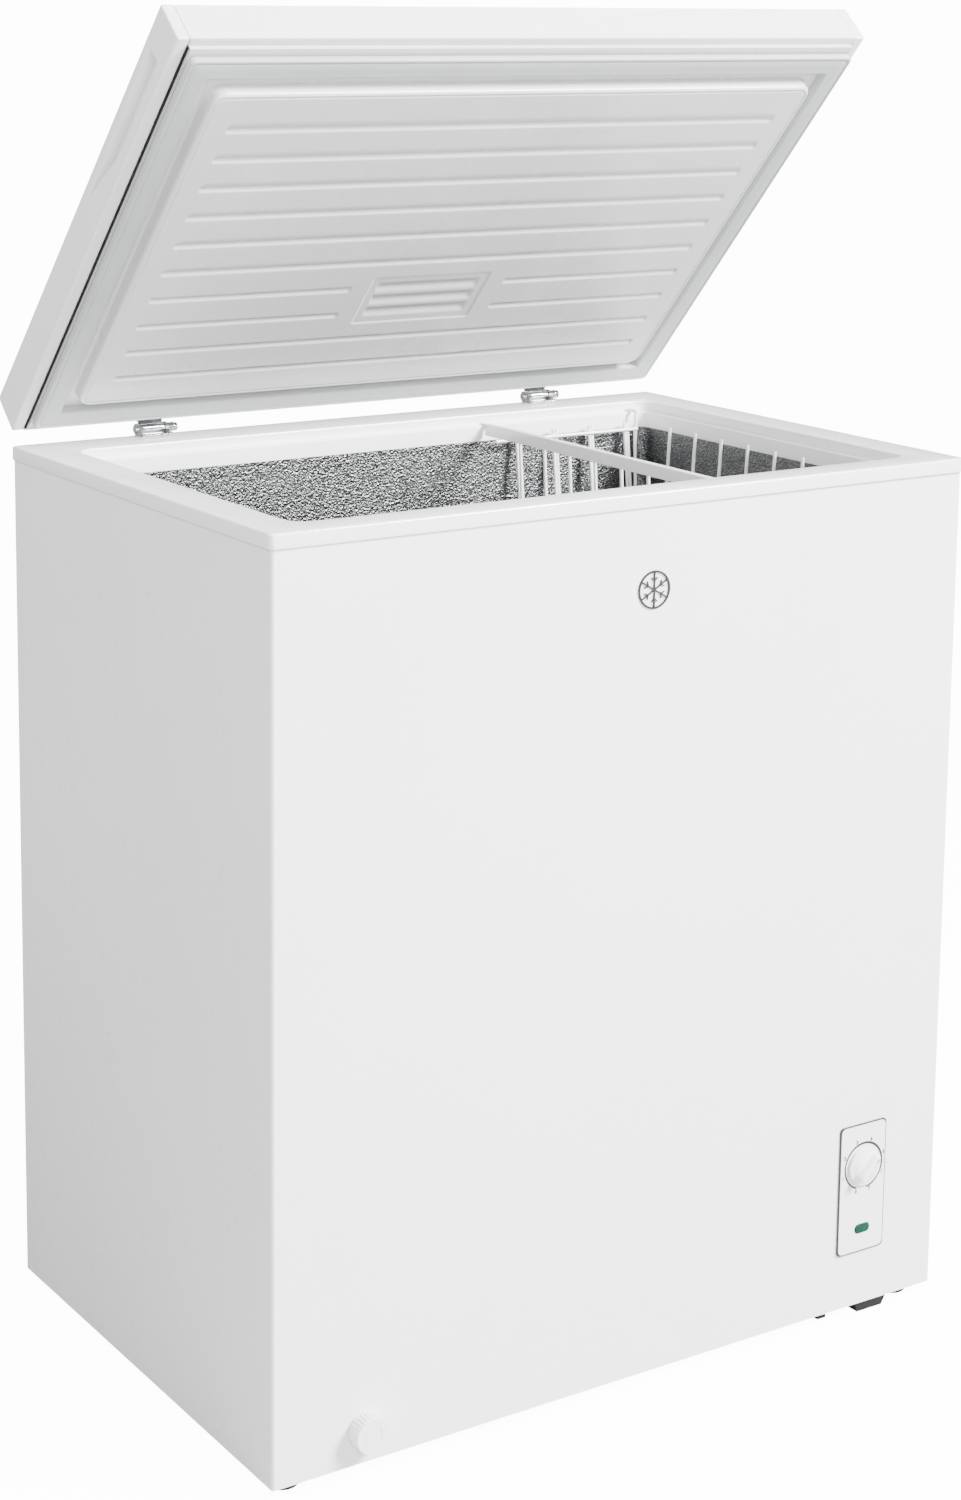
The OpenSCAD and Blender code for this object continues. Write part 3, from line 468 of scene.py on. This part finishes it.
def backdrop():
    """A floor that bends up into a wall behind the freezer."""
    bm = bmesh.new()
    bend_at = SWEEP_BACK - SWEEP_BEND
    profile = [(-SWEEP_HALF, 0.0), (bend_at, 0.0)]
    for i in range(1, SWEEP_STEPS + 1):
        a = math.pi / 2 * i / SWEEP_STEPS
        profile.append((bend_at + SWEEP_BEND * math.sin(a), SWEEP_BEND - SWEEP_BEND * math.cos(a)))
    profile.append((SWEEP_BACK, SWEEP_TOP))
    rows = [[bm.verts.new((x, y, z)) for x in (-SWEEP_HALF, SWEEP_HALF)] for y, z in profile]
    for a, b in zip(rows, rows[1:]):
        bm.faces.new((a[0], a[1], b[1], b[0]))
    mesh = bpy.data.meshes.new("backdrop")
    for face in bm.faces:
        face.smooth = True
    bm.to_mesh(mesh)
    bm.free()
    floor = bpy.data.objects.new("backdrop", mesh)
    bpy.context.scene.collection.objects.link(floor)
    m = Mat("backdrop", (0.36, 0.36, 0.36), 0.7)
    m.vary_colour((0.34, 0.342, 0.345), 1.2).vary_rough(0.05, 6.0)
    seen = m.node("ShaderNodeLightPath").outputs["Is Camera Ray"]
    m.bsdf.inputs["Emission Color"].default_value = (1, 1, 1, 1)
    m.link(m.ranged(seen, 0.0, 1.0, 0.0, WHITE_OUT), m.bsdf.inputs["Emission Strength"])
    mesh.materials.append(m.mat)


def world_light():
    world = bpy.data.worlds.new("studio")
    bpy.context.scene.world = world
    world.use_nodes = True
    background = world.node_tree.nodes["Background"]
    background.inputs["Color"].default_value = (1, 1, 1, 1)
    background.inputs["Strength"].default_value = WORLD_LIGHT


def softbox(name, at, aim, side, power):
    """A square area light at one point, turned towards another."""
    data = bpy.data.lights.new(name, "AREA")
    data.shape = "RECTANGLE"
    data.size = side
    data.size_y = side
    data.energy = power
    lamp = bpy.data.objects.new(name, data)
    bpy.context.scene.collection.objects.link(lamp)
    lamp.location = at
    lamp.rotation_mode = "QUATERNION"
    lamp.rotation_quaternion = (Vector(at) - Vector(aim)).to_track_quat("Z", "Y")


backdrop()
world_light()
softbox("key", at=(2.6, -3.1, 3.6), aim=(0, 0, 0.75), side=1.7, power=1560)
softbox("fill", at=(-2.7, 0.6, 2.6), aim=(-0.3, 0, 0.8), side=1.6, power=88)
softbox("front", at=(-1.3, -2.7, 1.6), aim=(-0.1, 0, 0.95), side=1.4, power=115)
softbox("top", at=(-0.6, 0.4, 3.6), aim=(0.1, 0, 0.8), side=1.4, power=30)


# ---------------------------------------------------------------- rounded CAD parts
WRAP_LO, WRAP_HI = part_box("cabinet_wrap")
WRAP_CORNER = 3.0 * MM
TOUCHING = 1e-5


def is_wrap_corner(edge):
    """Whether an edge is one of the two upright ones at the cabinet's front."""
    a, b = (v.co for v in edge.verts)
    mid = (a + b) / 2
    upright = abs((a - b).normalized().z) > 0.99
    at_front = abs(mid.y - WRAP_LO.y) < TOUCHING
    at_side = abs(abs(mid.x) - WRAP_HI.x) < TOUCHING
    return upright and at_front and at_side


refine("cabinet_wrap", WRAP_CORNER, is_wrap_corner, segments=5)
refine("control_panel_plate", 0.8 * MM)
for end_trim in ("lid_trim_left", "lid_trim_right"):
    refine(end_trim, 1.8 * MM, segments=4)
refine("basket_rail", 0.7 * MM)
refine("leveling_feet", 0.8 * MM)
refine("drain_cap", 0.5 * MM)
refine("drain_flange", 0.5 * MM)
for hinge_part in (
    "hinge_base_left", "hinge_base_right", "hinge_leaf_left", "hinge_leaf_right",
    "hinge_pins", "hinge_base_screws", "hinge_leaf_screws", "bay_cover_screws",
):
    refine(hinge_part, 0.35 * MM, segments=2)
refine("side_vent_grille", 0.5 * MM, segments=2)
refine("front_emblem", 0.25 * MM, segments=2)
refine("pilot_lamp", 0.5 * MM)
refine("lid_outer_shell", 0.3 * MM, segments=2)


# ---------------------------------------------------------------- shape helpers
# Steps, in degrees, of the dome at either end of a bar
DOME_STEPS = (30, 60, 82)


def smooth(t):
    """0 below 0, 1 above 1 and a soft ramp between."""
    t = min(max(t, 0.0), 1.0)
    return t * t * (3 - 2 * t)


def quarter_turn(steps):
    return [math.radians(90 * i / steps) for i in range(steps + 1)]


def tube(points, radius, sides, bm):
    """A round bar with domed ends along a line of points."""
    pts = [Vector(p) for p in points]
    last = len(pts) - 1
    tangents = [(pts[min(i + 1, last)] - pts[max(i - 1, 0)]).normalized() for i in range(last + 1)]
    stations = [(p, t, radius) for p, t in zip(pts, tangents)]
    dome = [(math.sin(a), math.cos(a)) for a in (math.radians(d) for d in DOME_STEPS)]
    head = [(pts[0] - tangents[0] * radius * s, tangents[0], radius * c) for s, c in dome]
    tail = [(pts[-1] + tangents[-1] * radius * s, tangents[-1], radius * c) for s, c in dome]
    normal = tangents[0].orthogonal().normalized()
    rings = []
    for p, t, r in list(reversed(head)) + stations + tail:
        normal = (normal - normal.dot(t) * t).normalized()
        side = t.cross(normal)
        rings.append([
            bm.verts.new(p + r * (math.cos(a) * normal + math.sin(a) * side))
            for a in (2 * math.pi * k / sides for k in range(sides))
        ])
    joined(rings, bm)
    capped(rings, bm)


def lathe(profile, axis_point, direction, steps, flute):
    """Turns (radius, distance) pairs about an axis; flute(angle, radius) gives the radius there."""
    bm = bmesh.new()
    start = Vector(axis_point)
    direction = Vector(direction).normalized()
    side = direction.orthogonal().normalized()
    other = direction.cross(side)
    rings = []
    for radius, along in profile:
        ring = []
        for k in range(steps):
            a = 2 * math.pi * k / steps
            outwards = math.cos(a) * side + math.sin(a) * other
            ring.append(bm.verts.new(start + direction * along + flute(a, radius) * outwards))
        rings.append(ring)
    joined(rings, bm)
    capped(rings, bm)
    return bm


def rounded_loop(half_x, y0, y1, radius, steps=5):
    """Points of a rectangle with round corners, anticlockwise from the front right."""
    out = []
    centres = (
        (half_x - radius, y0 + radius, -90), (half_x - radius, y1 - radius, 0),
        (-half_x + radius, y1 - radius, 90), (-half_x + radius, y0 + radius, 180),
    )
    for cx, cy, start in centres:
        for i in range(steps + 1):
            a = math.radians(start + 90 * i / steps)
            out.append((cx + radius * math.cos(a), cy + radius * math.sin(a)))
    return out


def joined(rings, bm, close=False):
    """Skins a list of vertex rings; close also joins the last one to the first."""
    pairs = list(zip(rings, rings[1:])) + ([(rings[-1], rings[0])] if close else [])
    for a_ring, b_ring in pairs:
        n = len(a_ring)
        for k in range(n):
            j = (k + 1) % n
            bm.faces.new((a_ring[k], a_ring[j], b_ring[j], b_ring[k]))


def capped(rings, bm):
    """Closes both ends of a skin."""
    bm.faces.new(list(reversed(rings[0])))
    bm.faces.new(rings[-1])


# ---------------------------------------------------------------- rim and throat
RIM_LO, RIM_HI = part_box("top_collar")
RIM_FRONT_W = 33.4 * MM
RIM_REAR_W = 51.4 * MM
RIM_CORNER_R = 5 * MM
RIM_EDGE_R = 2.1 * MM
# The moulding's top, and its skirt down the cabinet
RIM_TOP_T = 3 * MM
SKIRT_T = 2.3 * MM
SKIRT_H = 13 * MM
OPEN_HALF = 327 * MM
OPEN_Y = (RIM_LO.y + RIM_FRONT_W, RIM_HI.y - RIM_REAR_W)
OPEN_CORNER_R = 20 * MM
OPEN_EDGE_R = 1.6 * MM
# The ledge that the basket hangs on, and the narrower well below it
LEDGE = 10 * MM
LEDGE_R = 1.1 * MM
WELL_INSET = 8 * MM
THROAT_H = 26 * MM
THROAT_T = 1.9 * MM


def ring_mesh(name, stations, node):
    """A closed ring: each station is (half width, front, back, corner radius, height)."""
    bm = bmesh.new()
    rings = []
    for half, y0, y1, radius, z in stations:
        loop = rounded_loop(half, y0, y1, radius, 8)
        rings.append([bm.verts.new((x, y, z)) for x, y in loop])
    joined(rings, bm, close=True)
    obj = mesh_object(name, bm, BODY_OF[node], SLOT_OF[node])
    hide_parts(node)


def rim_ring():
    """The moulded rim: a skirt, a soft outer edge, a flat top and a soft inner edge."""

    def outer(inset, z):
        radius = RIM_CORNER_R - inset * 0.6
        return (RIM_HI.x - inset, RIM_LO.y + inset, RIM_HI.y - inset, radius, RIM_Z - z)

    def inner(out, z):
        return (OPEN_HALF + out, OPEN_Y[0] - out, OPEN_Y[1] + out, OPEN_CORNER_R + out, RIM_Z - z)

    stations = [outer(SKIRT_T, SKIRT_H), outer(0.9 * MM, SKIRT_H)]
    stations += [outer(0.2 * MM, SKIRT_H - 0.2 * MM), outer(0, SKIRT_H - 0.8 * MM), outer(0, 8 * MM)]
    for a in quarter_turn(6):
        stations.append(outer(RIM_EDGE_R * (1 - math.cos(a)), RIM_EDGE_R * (1 - math.sin(a))))
    for a in quarter_turn(6):
        stations.append(inner(OPEN_EDGE_R * (1 - math.sin(a)), OPEN_EDGE_R * (1 - math.cos(a))))
    stations += [inner(0, RIM_TOP_T), inner(3 * MM, RIM_TOP_T), outer(SKIRT_T, RIM_TOP_T)]
    ring_mesh("rim_ring", stations, "top_collar")


def throat_ring():
    """The throat under the rim, with the ledge that the basket hangs on."""

    def at(inset, z):
        radius = max(OPEN_CORNER_R - inset, 4 * MM)
        return (OPEN_HALF - inset, OPEN_Y[0] + inset, OPEN_Y[1] - inset, radius, RIM_Z - z)

    stations = [at(0, RIM_TOP_T), at(0, LEDGE - 1.2 * MM)]
    stations += [at(0.35 * MM, LEDGE - 0.35 * MM), at(1.2 * MM, LEDGE)]
    for a in quarter_turn(4):
        inset = WELL_INSET - LEDGE_R + LEDGE_R * math.sin(a)
        stations.append(at(inset, LEDGE + LEDGE_R - LEDGE_R * math.cos(a)))
    stations += [at(WELL_INSET, THROAT_H - 0.4 * MM), at(WELL_INSET - 0.4 * MM, THROAT_H)]
    back = WELL_INSET - THROAT_T
    under = LEDGE + 2 * MM
    stations += [at(back, THROAT_H), at(back, under), at(-THROAT_T, under), at(-THROAT_T, RIM_TOP_T)]
    ring_mesh("throat_ring", stations, "throat_frame")


rim_ring()
throat_ring()


# ---------------------------------------------------------------- the lid's levels
# The lid is described as if closed: s runs forwards from its back edge, heights start at its lip.
LID_BACK = PIVOT.y - 3.5 * MM
TRIM_W = 12 * MM
LIP_HALF = WRAP_HI.x - TRIM_W
SEAL_HALF = high("lid_gasket").x
SEAL_BACK = LID_BACK - 15 * MM
SEAL_FRONT = LID_BACK - 486 * MM
SEAT_HALF = SEAL_HALF - 0.5 * MM
SEAT_S = (12 * MM, 492 * MM)
SEAT_Z = -4.5 * MM
PLINTH_HALF = 321 * MM
PLINTH_S = (50 * MM, 452 * MM)
PLINTH_Z = -17 * MM
PLINTH_CORNER_R = 14 * MM
PLINTH_EDGE_R = 3.6 * MM


def opened(x, y, height):
    """Where a point of the closed lid is with the lid open."""
    return OPEN_LID @ Vector((x, y, LIP_Z + height))


# ---------------------------------------------------------------- lid seal
def lid_seal():
    """The magnetic seal: outer bead, flat magnet face, a slot and a thin inner lip."""
    # (inset from the outer edge, height), in mm, round the section
    profile = [
        (4.4, -4.5), (4.4, -6.3), (0.9, -6.4), (0.2, -6.9), (0.0, -7.8), (0.0, -10.2), (0.4, -11.5),
        (1.3, -12.3), (2.4, -12.5), (3.4, -12.2), (3.9, -11.5), (4.4, -11.4), (5.0, -12.0),
        (6.0, -12.3), (14.0, -12.25), (18.8, -12.3), (20.6, -12.45), (21.6, -12.0), (22.3, -10.8),
        (22.8, -8.0), (22.9, -4.5),
    ]
    bm = bmesh.new()
    rings = []
    for inset, height in profile:
        loop = rounded_loop(
            SEAL_HALF - inset * MM, SEAL_FRONT + inset * MM, SEAL_BACK - inset * MM,
            max(6.0 - inset * 0.2, 0.8) * MM,
        )
        rings.append([bm.verts.new(opened(x, y, height * MM)) for x, y in loop])
    joined(rings, bm, close=True)
    obj = mesh_object("lid_seal", bm, "lid", "gasket_vinyl")
    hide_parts("lid_gasket")


lid_seal()


# ---------------------------------------------------------------- inner lid
# Pressed grooves across the plinth
GROOVE_HALF = 295 * MM
GROOVE_AT = [(87 + 35.8 * i) * MM for i in range(10)]
GROOVE_D = 2.6 * MM
GROOVE_HALF_W = 4.2 * MM
GROOVE_END = 2.6 * MM
# A shallow groove round the plinth, inside its edge
BORDER_AT = 5.0 * MM
BORDER_D = 0.9 * MM
BORDER_HALF_W = 1.3 * MM
# A sunk field with three wide slots; the grooves in its rows stop short of it
LOUVRE_MID = 177 * MM
LOUVRE_HALF = 66 * MM
LOUVRE_HALF_S = 33 * MM
LOUVRE_D = 0.9 * MM
LOUVRE_CLEAR = 85 * MM
SLOT_HALF = 57 * MM
SLOT_PITCH = 17 * MM
SLOT_D = 2.9 * MM
SLOT_HALF_W = 7.2 * MM
# Grid lines nearer to each other than this become one
GRID_GAP = 0.25 * MM


def inside_distance(x, s, half, s0, s1, radius):
    """Distance from a point inside a rounded rectangle to its edge; negative outside."""
    dx = abs(x) - (half - radius)
    ds = abs(s - (s0 + s1) / 2) - ((s1 - s0) / 2 - radius)
    out = math.hypot(max(dx, 0), max(ds, 0)) + min(max(dx, ds), 0)
    return radius - out


def pressed_groove(v, ends, depth, half_w):
    """Depth of one pressed groove: a steep wall towards the lid's front, a soft one behind."""
    if ends <= 0 or abs(v) >= half_w:
        return 0.0
    steep = smooth((half_w - v) / (0.34 * half_w))
    soft = smooth((v + half_w) / (1.3 * half_w))
    return depth * min(steep, soft) * smooth(ends / GROOVE_END)


def plinth_groove(x, s, at):
    """Depth of the groove at a given distance from the lid's back edge."""
    ends = GROOVE_HALF - abs(x)
    if abs(at - LOUVRE_MID) < LOUVRE_HALF_S:
        ends = min(ends, abs(x) - LOUVRE_CLEAR)
    return pressed_groove(s - at, ends, GROOVE_D, GROOVE_HALF_W)


def louvre(x, s):
    """Depth of the sunk field and its slots."""
    s0, s1 = LOUVRE_MID - LOUVRE_HALF_S, LOUVRE_MID + LOUVRE_HALF_S
    inside = inside_distance(x, s, LOUVRE_HALF, s0, s1, 3 * MM)
    if inside <= 0:
        return 0.0
    depth = LOUVRE_D * smooth(inside / (2.0 * MM))
    for k in (-1, 0, 1):
        v = s - LOUVRE_MID - SLOT_PITCH * k
        depth += pressed_groove(v, SLOT_HALF - abs(x), SLOT_D, SLOT_HALF_W)
    return depth


def lid_height(x, s):
    """Height of the inner lid's face: the seat for the seal, and the plinth with its pressings."""
    edge = inside_distance(x, s, PLINTH_HALF, *PLINTH_S, PLINTH_CORNER_R)
    foot = 0.3 * MM
    if edge < -foot:
        return SEAT_Z
    turn = min(max(PLINTH_EDGE_R - edge, 0.0) / PLINTH_EDGE_R, 1.0)
    height = PLINTH_Z + PLINTH_EDGE_R * (1 - math.sqrt(1 - turn * turn))
    if edge < foot:
        height += (SEAT_Z - height) * smooth((foot - edge) / (2 * foot))
    height += BORDER_D * smooth(1 - abs(edge - BORDER_AT) / BORDER_HALF_W)
    for at in GROOVE_AT:
        height += plinth_groove(x, s, at)
    return height + louvre(x, s)


def ticks(lo, hi, coarse, bands):
    """Grid lines from lo to hi: coarse ones, and fine ones inside the bands (from, to, step)."""
    out = {round(lo, 7), round(hi, 7)}
    n = max(1, round((hi - lo) / coarse))
    for i in range(n + 1):
        out.add(round(lo + (hi - lo) * i / n, 7))
    for a, b, step in bands:
        m = max(1, round((b - a) / step))
        for i in range(m + 1):
            v = a + (b - a) * i / m
            if lo <= v <= hi:
                out.add(round(v, 7))
    lines = sorted(out)
    kept = [lines[0]]
    for v in lines[1:]:
        if v - kept[-1] > GRID_GAP:
            kept.append(v)
    kept[-1] = lines[-1]
    return kept


def lid_grid_x():
    # From, to and step in mm on either side of the middle: the ends of the grooves, the plinth's
    # edge, just inside that edge, the ends of the louvre, and the groove ends beside the louvre
    side = [(283, 299, 1.0), (312, 322, 0.5), (302, 312, 1.2), (52, 69, 1.0), (82, 92, 1.0)]
    bands = [(a * MM, b * MM, step * MM) for a, b, step in side]
    bands += [(-b * MM, -a * MM, step * MM) for a, b, step in side]
    return ticks(-SEAT_HALF, SEAT_HALF, 14 * MM, bands)


def lid_grid_s():
    # Across each groove, the plinth's two edges, just inside them, and the louvre
    bands = [(at - 4.6 * MM, at + 4.6 * MM, 0.7 * MM) for at in GROOVE_AT]
    bands += [(49 * MM, 59 * MM, 0.5 * MM), (443 * MM, 453 * MM, 0.5 * MM)]
    bands += [(59 * MM, 68 * MM, 1.2 * MM), (434 * MM, 443 * MM, 1.2 * MM)]
    bands += [(LOUVRE_MID - 34 * MM, LOUVRE_MID + 34 * MM, 0.8 * MM)]
    return ticks(*SEAT_S, 9 * MM, bands)


def inner_lid():
    """The pressed face as a grid of heights, with a wall round it up to the lid's lip."""
    xs = lid_grid_x()
    ss = lid_grid_s()
    bm = bmesh.new()
    grid = [
        [bm.verts.new(opened(x, LID_BACK - s, lid_height(x, s))) for x in xs]
        for s in ss
    ]
    for a_row, b_row in zip(grid, grid[1:]):
        for k in range(len(xs) - 1):
            bm.faces.new((a_row[k], a_row[k + 1], b_row[k + 1], b_row[k]))
    border = grid[0][:] + [row[-1] for row in grid[1:]]
    border += grid[-1][-2::-1] + [row[0] for row in grid[-2:0:-1]]
    flat = [(x, SEAT_S[0]) for x in xs] + [(xs[-1], s) for s in ss[1:]]
    flat += [(x, SEAT_S[1]) for x in xs[-2::-1]] + [(xs[0], s) for s in ss[-2:0:-1]]
    wall = [bm.verts.new(opened(x, LID_BACK - s, 0.0)) for x, s in flat]
    joined([border, wall], bm)
    obj = mesh_object("inner_lid", bm, "lid", "lid_liner_plastic", smooth_angle=50.0)
    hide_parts("lid_inner_liner")


def lid_lips():
    """The flat lips in front of the seat and behind it, each with a soft edge."""
    for name, s0, s1 in (("lip_front", SEAT_S[1], 499 * MM), ("lip_rear", 1 * MM, SEAT_S[0])):
        bm = bmesh.new()
        rings = []
        for inset, z in ((0.6, 1.5), (0.0, 1.0), (0.0, 0.3), (0.3, 0.0), (2.0, -0.05)):
            front = LID_BACK - s1 + inset * MM
            back = LID_BACK - s0 - inset * MM
            loop = rounded_loop(LIP_HALF - inset * MM, front, back, 0.6 * MM, 3)
            rings.append([bm.verts.new(opened(x, y, z * MM)) for x, y in loop])
        joined(rings, bm)
        bm.faces.new(rings[-1])
        mesh_object(name, bm, "lid", "lid_liner_plastic")


def trim_seams():
    """A black strip of painted shadow in the gap between each end trim and the inner lid."""
    inner = SEAT_HALF
    outer = LIP_HALF + 0.6 * MM
    floor = -1.6 * MM
    for name, side in (("trim_gap_shadow_left", -1), ("trim_gap_shadow_right", 1)):
        bm = bmesh.new()
        rings = []
        for s in (4 * MM, SEAT_S[1] - 0.5 * MM):
            section = ((inner, 0.0), (inner, floor), (outer, floor), (outer, 0.0))
            rings.append([bm.verts.new(opened(side * x, LID_BACK - s, z)) for x, z in section])
        joined(rings, bm)
        bm.faces.new(rings[0])
        bm.faces.new(list(reversed(rings[-1])))
        # black_rubber here only paints the shadow in the gap; there is no rubber part there
        mesh_object(name, bm, "lid", "black_rubber")


inner_lid()
lid_lips()
trim_seams()


# ---------------------------------------------------------------- thermostat
KNOB_LO, KNOB_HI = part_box("thermostat_knob")
KNOB_X = (KNOB_LO.x + KNOB_HI.x) / 2
KNOB_Z = (KNOB_LO.z + KNOB_HI.z) / 2
KNOB_R = (KNOB_HI.x - KNOB_LO.x) / 2
PANEL_FACE = low("control_panel_plate").y
FLUTES = 36
FLUTE_D = 0.22 * MM
GRIP_TILT = math.radians(45)
GRIP_SIDES = 48
# Share by which the grip narrows towards its pointer, and how blunt its ends and sides are
GRIP_TAPER = 0.16
GRIP_END_POWER = 0.42
GRIP_SIDE_POWER = 0.8
POINTER_FRONT = 12.75 * MM
# The printed arc swells near one point of its way round
ARC_R = KNOB_R + 2.6 * MM
ARC_W = 1.7 * MM
ARC_SWELL = 0.7 * MM
ARC_SWELL_AT = 0.42
ARC_SWELL_SPREAD = 0.2
ARC_ENDS = (math.radians(-80), math.radians(250))
ARC_STEPS = 120
DIGIT_R = KNOB_R + 7.0 * MM
DIGIT_SIZE = 5.2 * MM
# Directions of the numbers 0 to 7 from the knob, anticlockwise from the right
DIGIT_ANGLES = (-109, 198, 153, 109, 70, 19, -27, -72)


def knob_skirt():
    """The knob's dished skirt with a fluted edge, and its shaft behind the panel."""
    r = KNOB_R / MM
    # (radius, distance behind the panel's face), in mm
    profile = [
        (3.0, 22.0), (3.0, -0.4), (r - 0.6, -0.4), (r, -0.9), (r, -2.2), (r - 0.5, -3.1),
        (r - 1.4, -3.5), (r - 3.2, -3.4), (r - 4.6, -3.9), (r - 6.5, -5.2), (r - 9.5, -6.2),
        (r - 13, -6.7), (1.5, -6.9), (0.2, -6.9),
    ]
    at = (KNOB_X, PANEL_FACE, KNOB_Z)

    def flute(a, radius):
        wave = 0.5 - 0.5 * math.cos(FLUTES * a)
        return radius - (FLUTE_D * wave if radius > KNOB_R - 0.3 * MM else 0.0)

    bm = lathe([(a * MM, b * MM) for a, b in profile], at, (0, 1, 0), 4 * FLUTES, flute)
    skirt = mesh_object("knob_skirt", bm, "knob", "white_plastic")
    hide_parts("thermostat_knob")


def knob_grip():
    """The tapered bar across the knob, built of blunt ovals that shrink towards its front."""
    bm = bmesh.new()
    # (distance behind the panel's face, half length, half width), in mm
    levels = (
        (-3.0, 16.6, 5.6), (-5.0, 16.3, 5.0), (-8.0, 15.9, 4.3), (-10.5, 15.5, 3.8),
        (-11.6, 15.1, 3.3), (-12.3, 14.5, 2.7), (-12.7, 13.6, 1.8), (-12.8, 12.4, 0.7),
    )
    rings = []
    for along, half_l, half_w in levels:
        ring = []
        for k in range(GRIP_SIDES):
            a = 2 * math.pi * k / GRIP_SIDES
            c, s = math.cos(a), math.sin(a)
            u = half_l * math.copysign(abs(c) ** GRIP_END_POWER, c)
            v = half_w * math.copysign(abs(s) ** GRIP_SIDE_POWER, s)
            v *= 1.0 - GRIP_TAPER * u / half_l
            x = u * math.cos(GRIP_TILT) - v * math.sin(GRIP_TILT)
            z = u * math.sin(GRIP_TILT) + v * math.cos(GRIP_TILT)
            ring.append(bm.verts.new((KNOB_X + x * MM, PANEL_FACE + along * MM, KNOB_Z + z * MM)))
        rings.append(ring)
    joined(rings, bm)
    capped(rings, bm)
    mesh_object("knob_grip", bm, "knob", "white_plastic", smooth_angle=60.0)


def knob_pointer():
    """The dark mark at the narrow end of the grip."""
    bm = bmesh.new()
    along_grip = Vector((math.cos(GRIP_TILT), 0, math.sin(GRIP_TILT)))
    top = Vector((KNOB_X, PANEL_FACE - POINTER_FRONT, KNOB_Z))
    tube([top + along_grip * 8.2 * MM, top + along_grip * 12.2 * MM], 0.5 * MM, 8, bm)
    mesh_object("knob_pointer", bm, "knob", "emblem_grey")


def dial_arc():
    """The printed arc round the knob."""
    bm = bmesh.new()
    start, stop = ARC_ENDS
    front, back = PANEL_FACE - 0.15 * MM, PANEL_FACE + 0.1 * MM
    rings = []
    for i in range(ARC_STEPS + 1):
        t = i / ARC_STEPS
        a = start + (stop - start) * t
        swell = ARC_SWELL * math.exp(-((t - ARC_SWELL_AT) / ARC_SWELL_SPREAD) ** 2)
        wide = ARC_W + swell
        ring = []
        for r, y in ((ARC_R, back), (ARC_R, front), (ARC_R + wide, front), (ARC_R + wide, back)):
            ring.append(bm.verts.new((KNOB_X + r * math.cos(a), y, KNOB_Z + r * math.sin(a))))
        rings.append(ring)
    joined(rings, bm)
    bm.faces.new(rings[0])
    bm.faces.new(list(reversed(rings[-1])))
    mesh_object("dial_arc", bm, "cabinet", "emblem_grey")


def dial_digits():
    """The numbers 0 to 7 outside the arc."""
    for digit, degrees in enumerate(DIGIT_ANGLES):
        curve = bpy.data.curves.new("dial_%d" % digit, "FONT")
        curve.body = str(digit)
        curve.size = DIGIT_SIZE
        curve.offset = 0.22 * MM
        curve.extrude = 0.1 * MM
        curve.align_x = "CENTER"
        curve.align_y = "CENTER"
        obj = bpy.data.objects.new("dial_%d" % digit, curve)
        bpy.context.scene.collection.objects.link(obj)
        a = math.radians(degrees)
        x = KNOB_X + DIGIT_R * math.cos(a)
        z = KNOB_Z + DIGIT_R * math.sin(a)
        obj.location = (x, PANEL_FACE - 0.05 * MM, z)
        obj.rotation_euler = (math.radians(90), 0, 0)
        place(obj, "cabinet", "emblem_grey")


def panel_seam():
    """A dark ring of painted shadow in the gap round the control panel."""
    lo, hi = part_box("control_panel_plate")
    mid_x, mid_z = (lo.x + hi.x) / 2, (lo.z + hi.z) / 2
    half_x, half_z = (hi.x - lo.x) / 2, (hi.z - lo.z) / 2
    back, front = WRAP_LO.y + 0.3 * MM, PANEL_FACE + 0.3 * MM
    under, beyond = -0.5 * MM, 1.1 * MM
    bm = bmesh.new()
    rings = []
    for grow, y in ((under, back), (under, front), (beyond, front), (beyond, back)):
        loop = rounded_loop(half_x + grow, mid_z - half_z - grow, mid_z + half_z + grow, 4 * MM)
        rings.append([bm.verts.new((mid_x + x, y, z)) for x, z in loop])
    joined(rings, bm, close=True)
    # emblem_grey here paints the shadow in the gap round the panel, not print
    mesh_object("panel_seam", bm, "cabinet", "emblem_grey")


knob_skirt()
knob_grip()
knob_pointer()
dial_arc()
dial_digits()
panel_seam()


# ---------------------------------------------------------------- hinge springs
COILS = 5
COIL_STEPS = 20
COIL_WIRE = 0.62 * MM


def springs():
    """One coil beside each hinge, as wide and as high as the CAD springs."""
    lo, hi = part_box("hinge_springs")
    bm = bmesh.new()
    radius = (hi.z - lo.z) / 2 - COIL_WIRE - 0.02 * MM
    from_left = lo.x - high("hinge_base_left").x
    width = hi.x - high("hinge_base_right").x - from_left - 2 * COIL_WIRE
    steps = COILS * COIL_STEPS
    for x0 in (lo.x + COIL_WIRE, hi.x - COIL_WIRE - width):
        points = []
        for i in range(steps + 1):
            a = 2 * math.pi * i / COIL_STEPS
            points.append((
                x0 + width * i / steps,
                PIVOT.y + radius * math.cos(a),
                PIVOT.z + radius * math.sin(a),
            ))
        tube(points, COIL_WIRE, 8, bm)
    obj = mesh_object("hinge_coils", bm, "cabinet", "hinge_steel")
    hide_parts("hinge_springs")


springs()
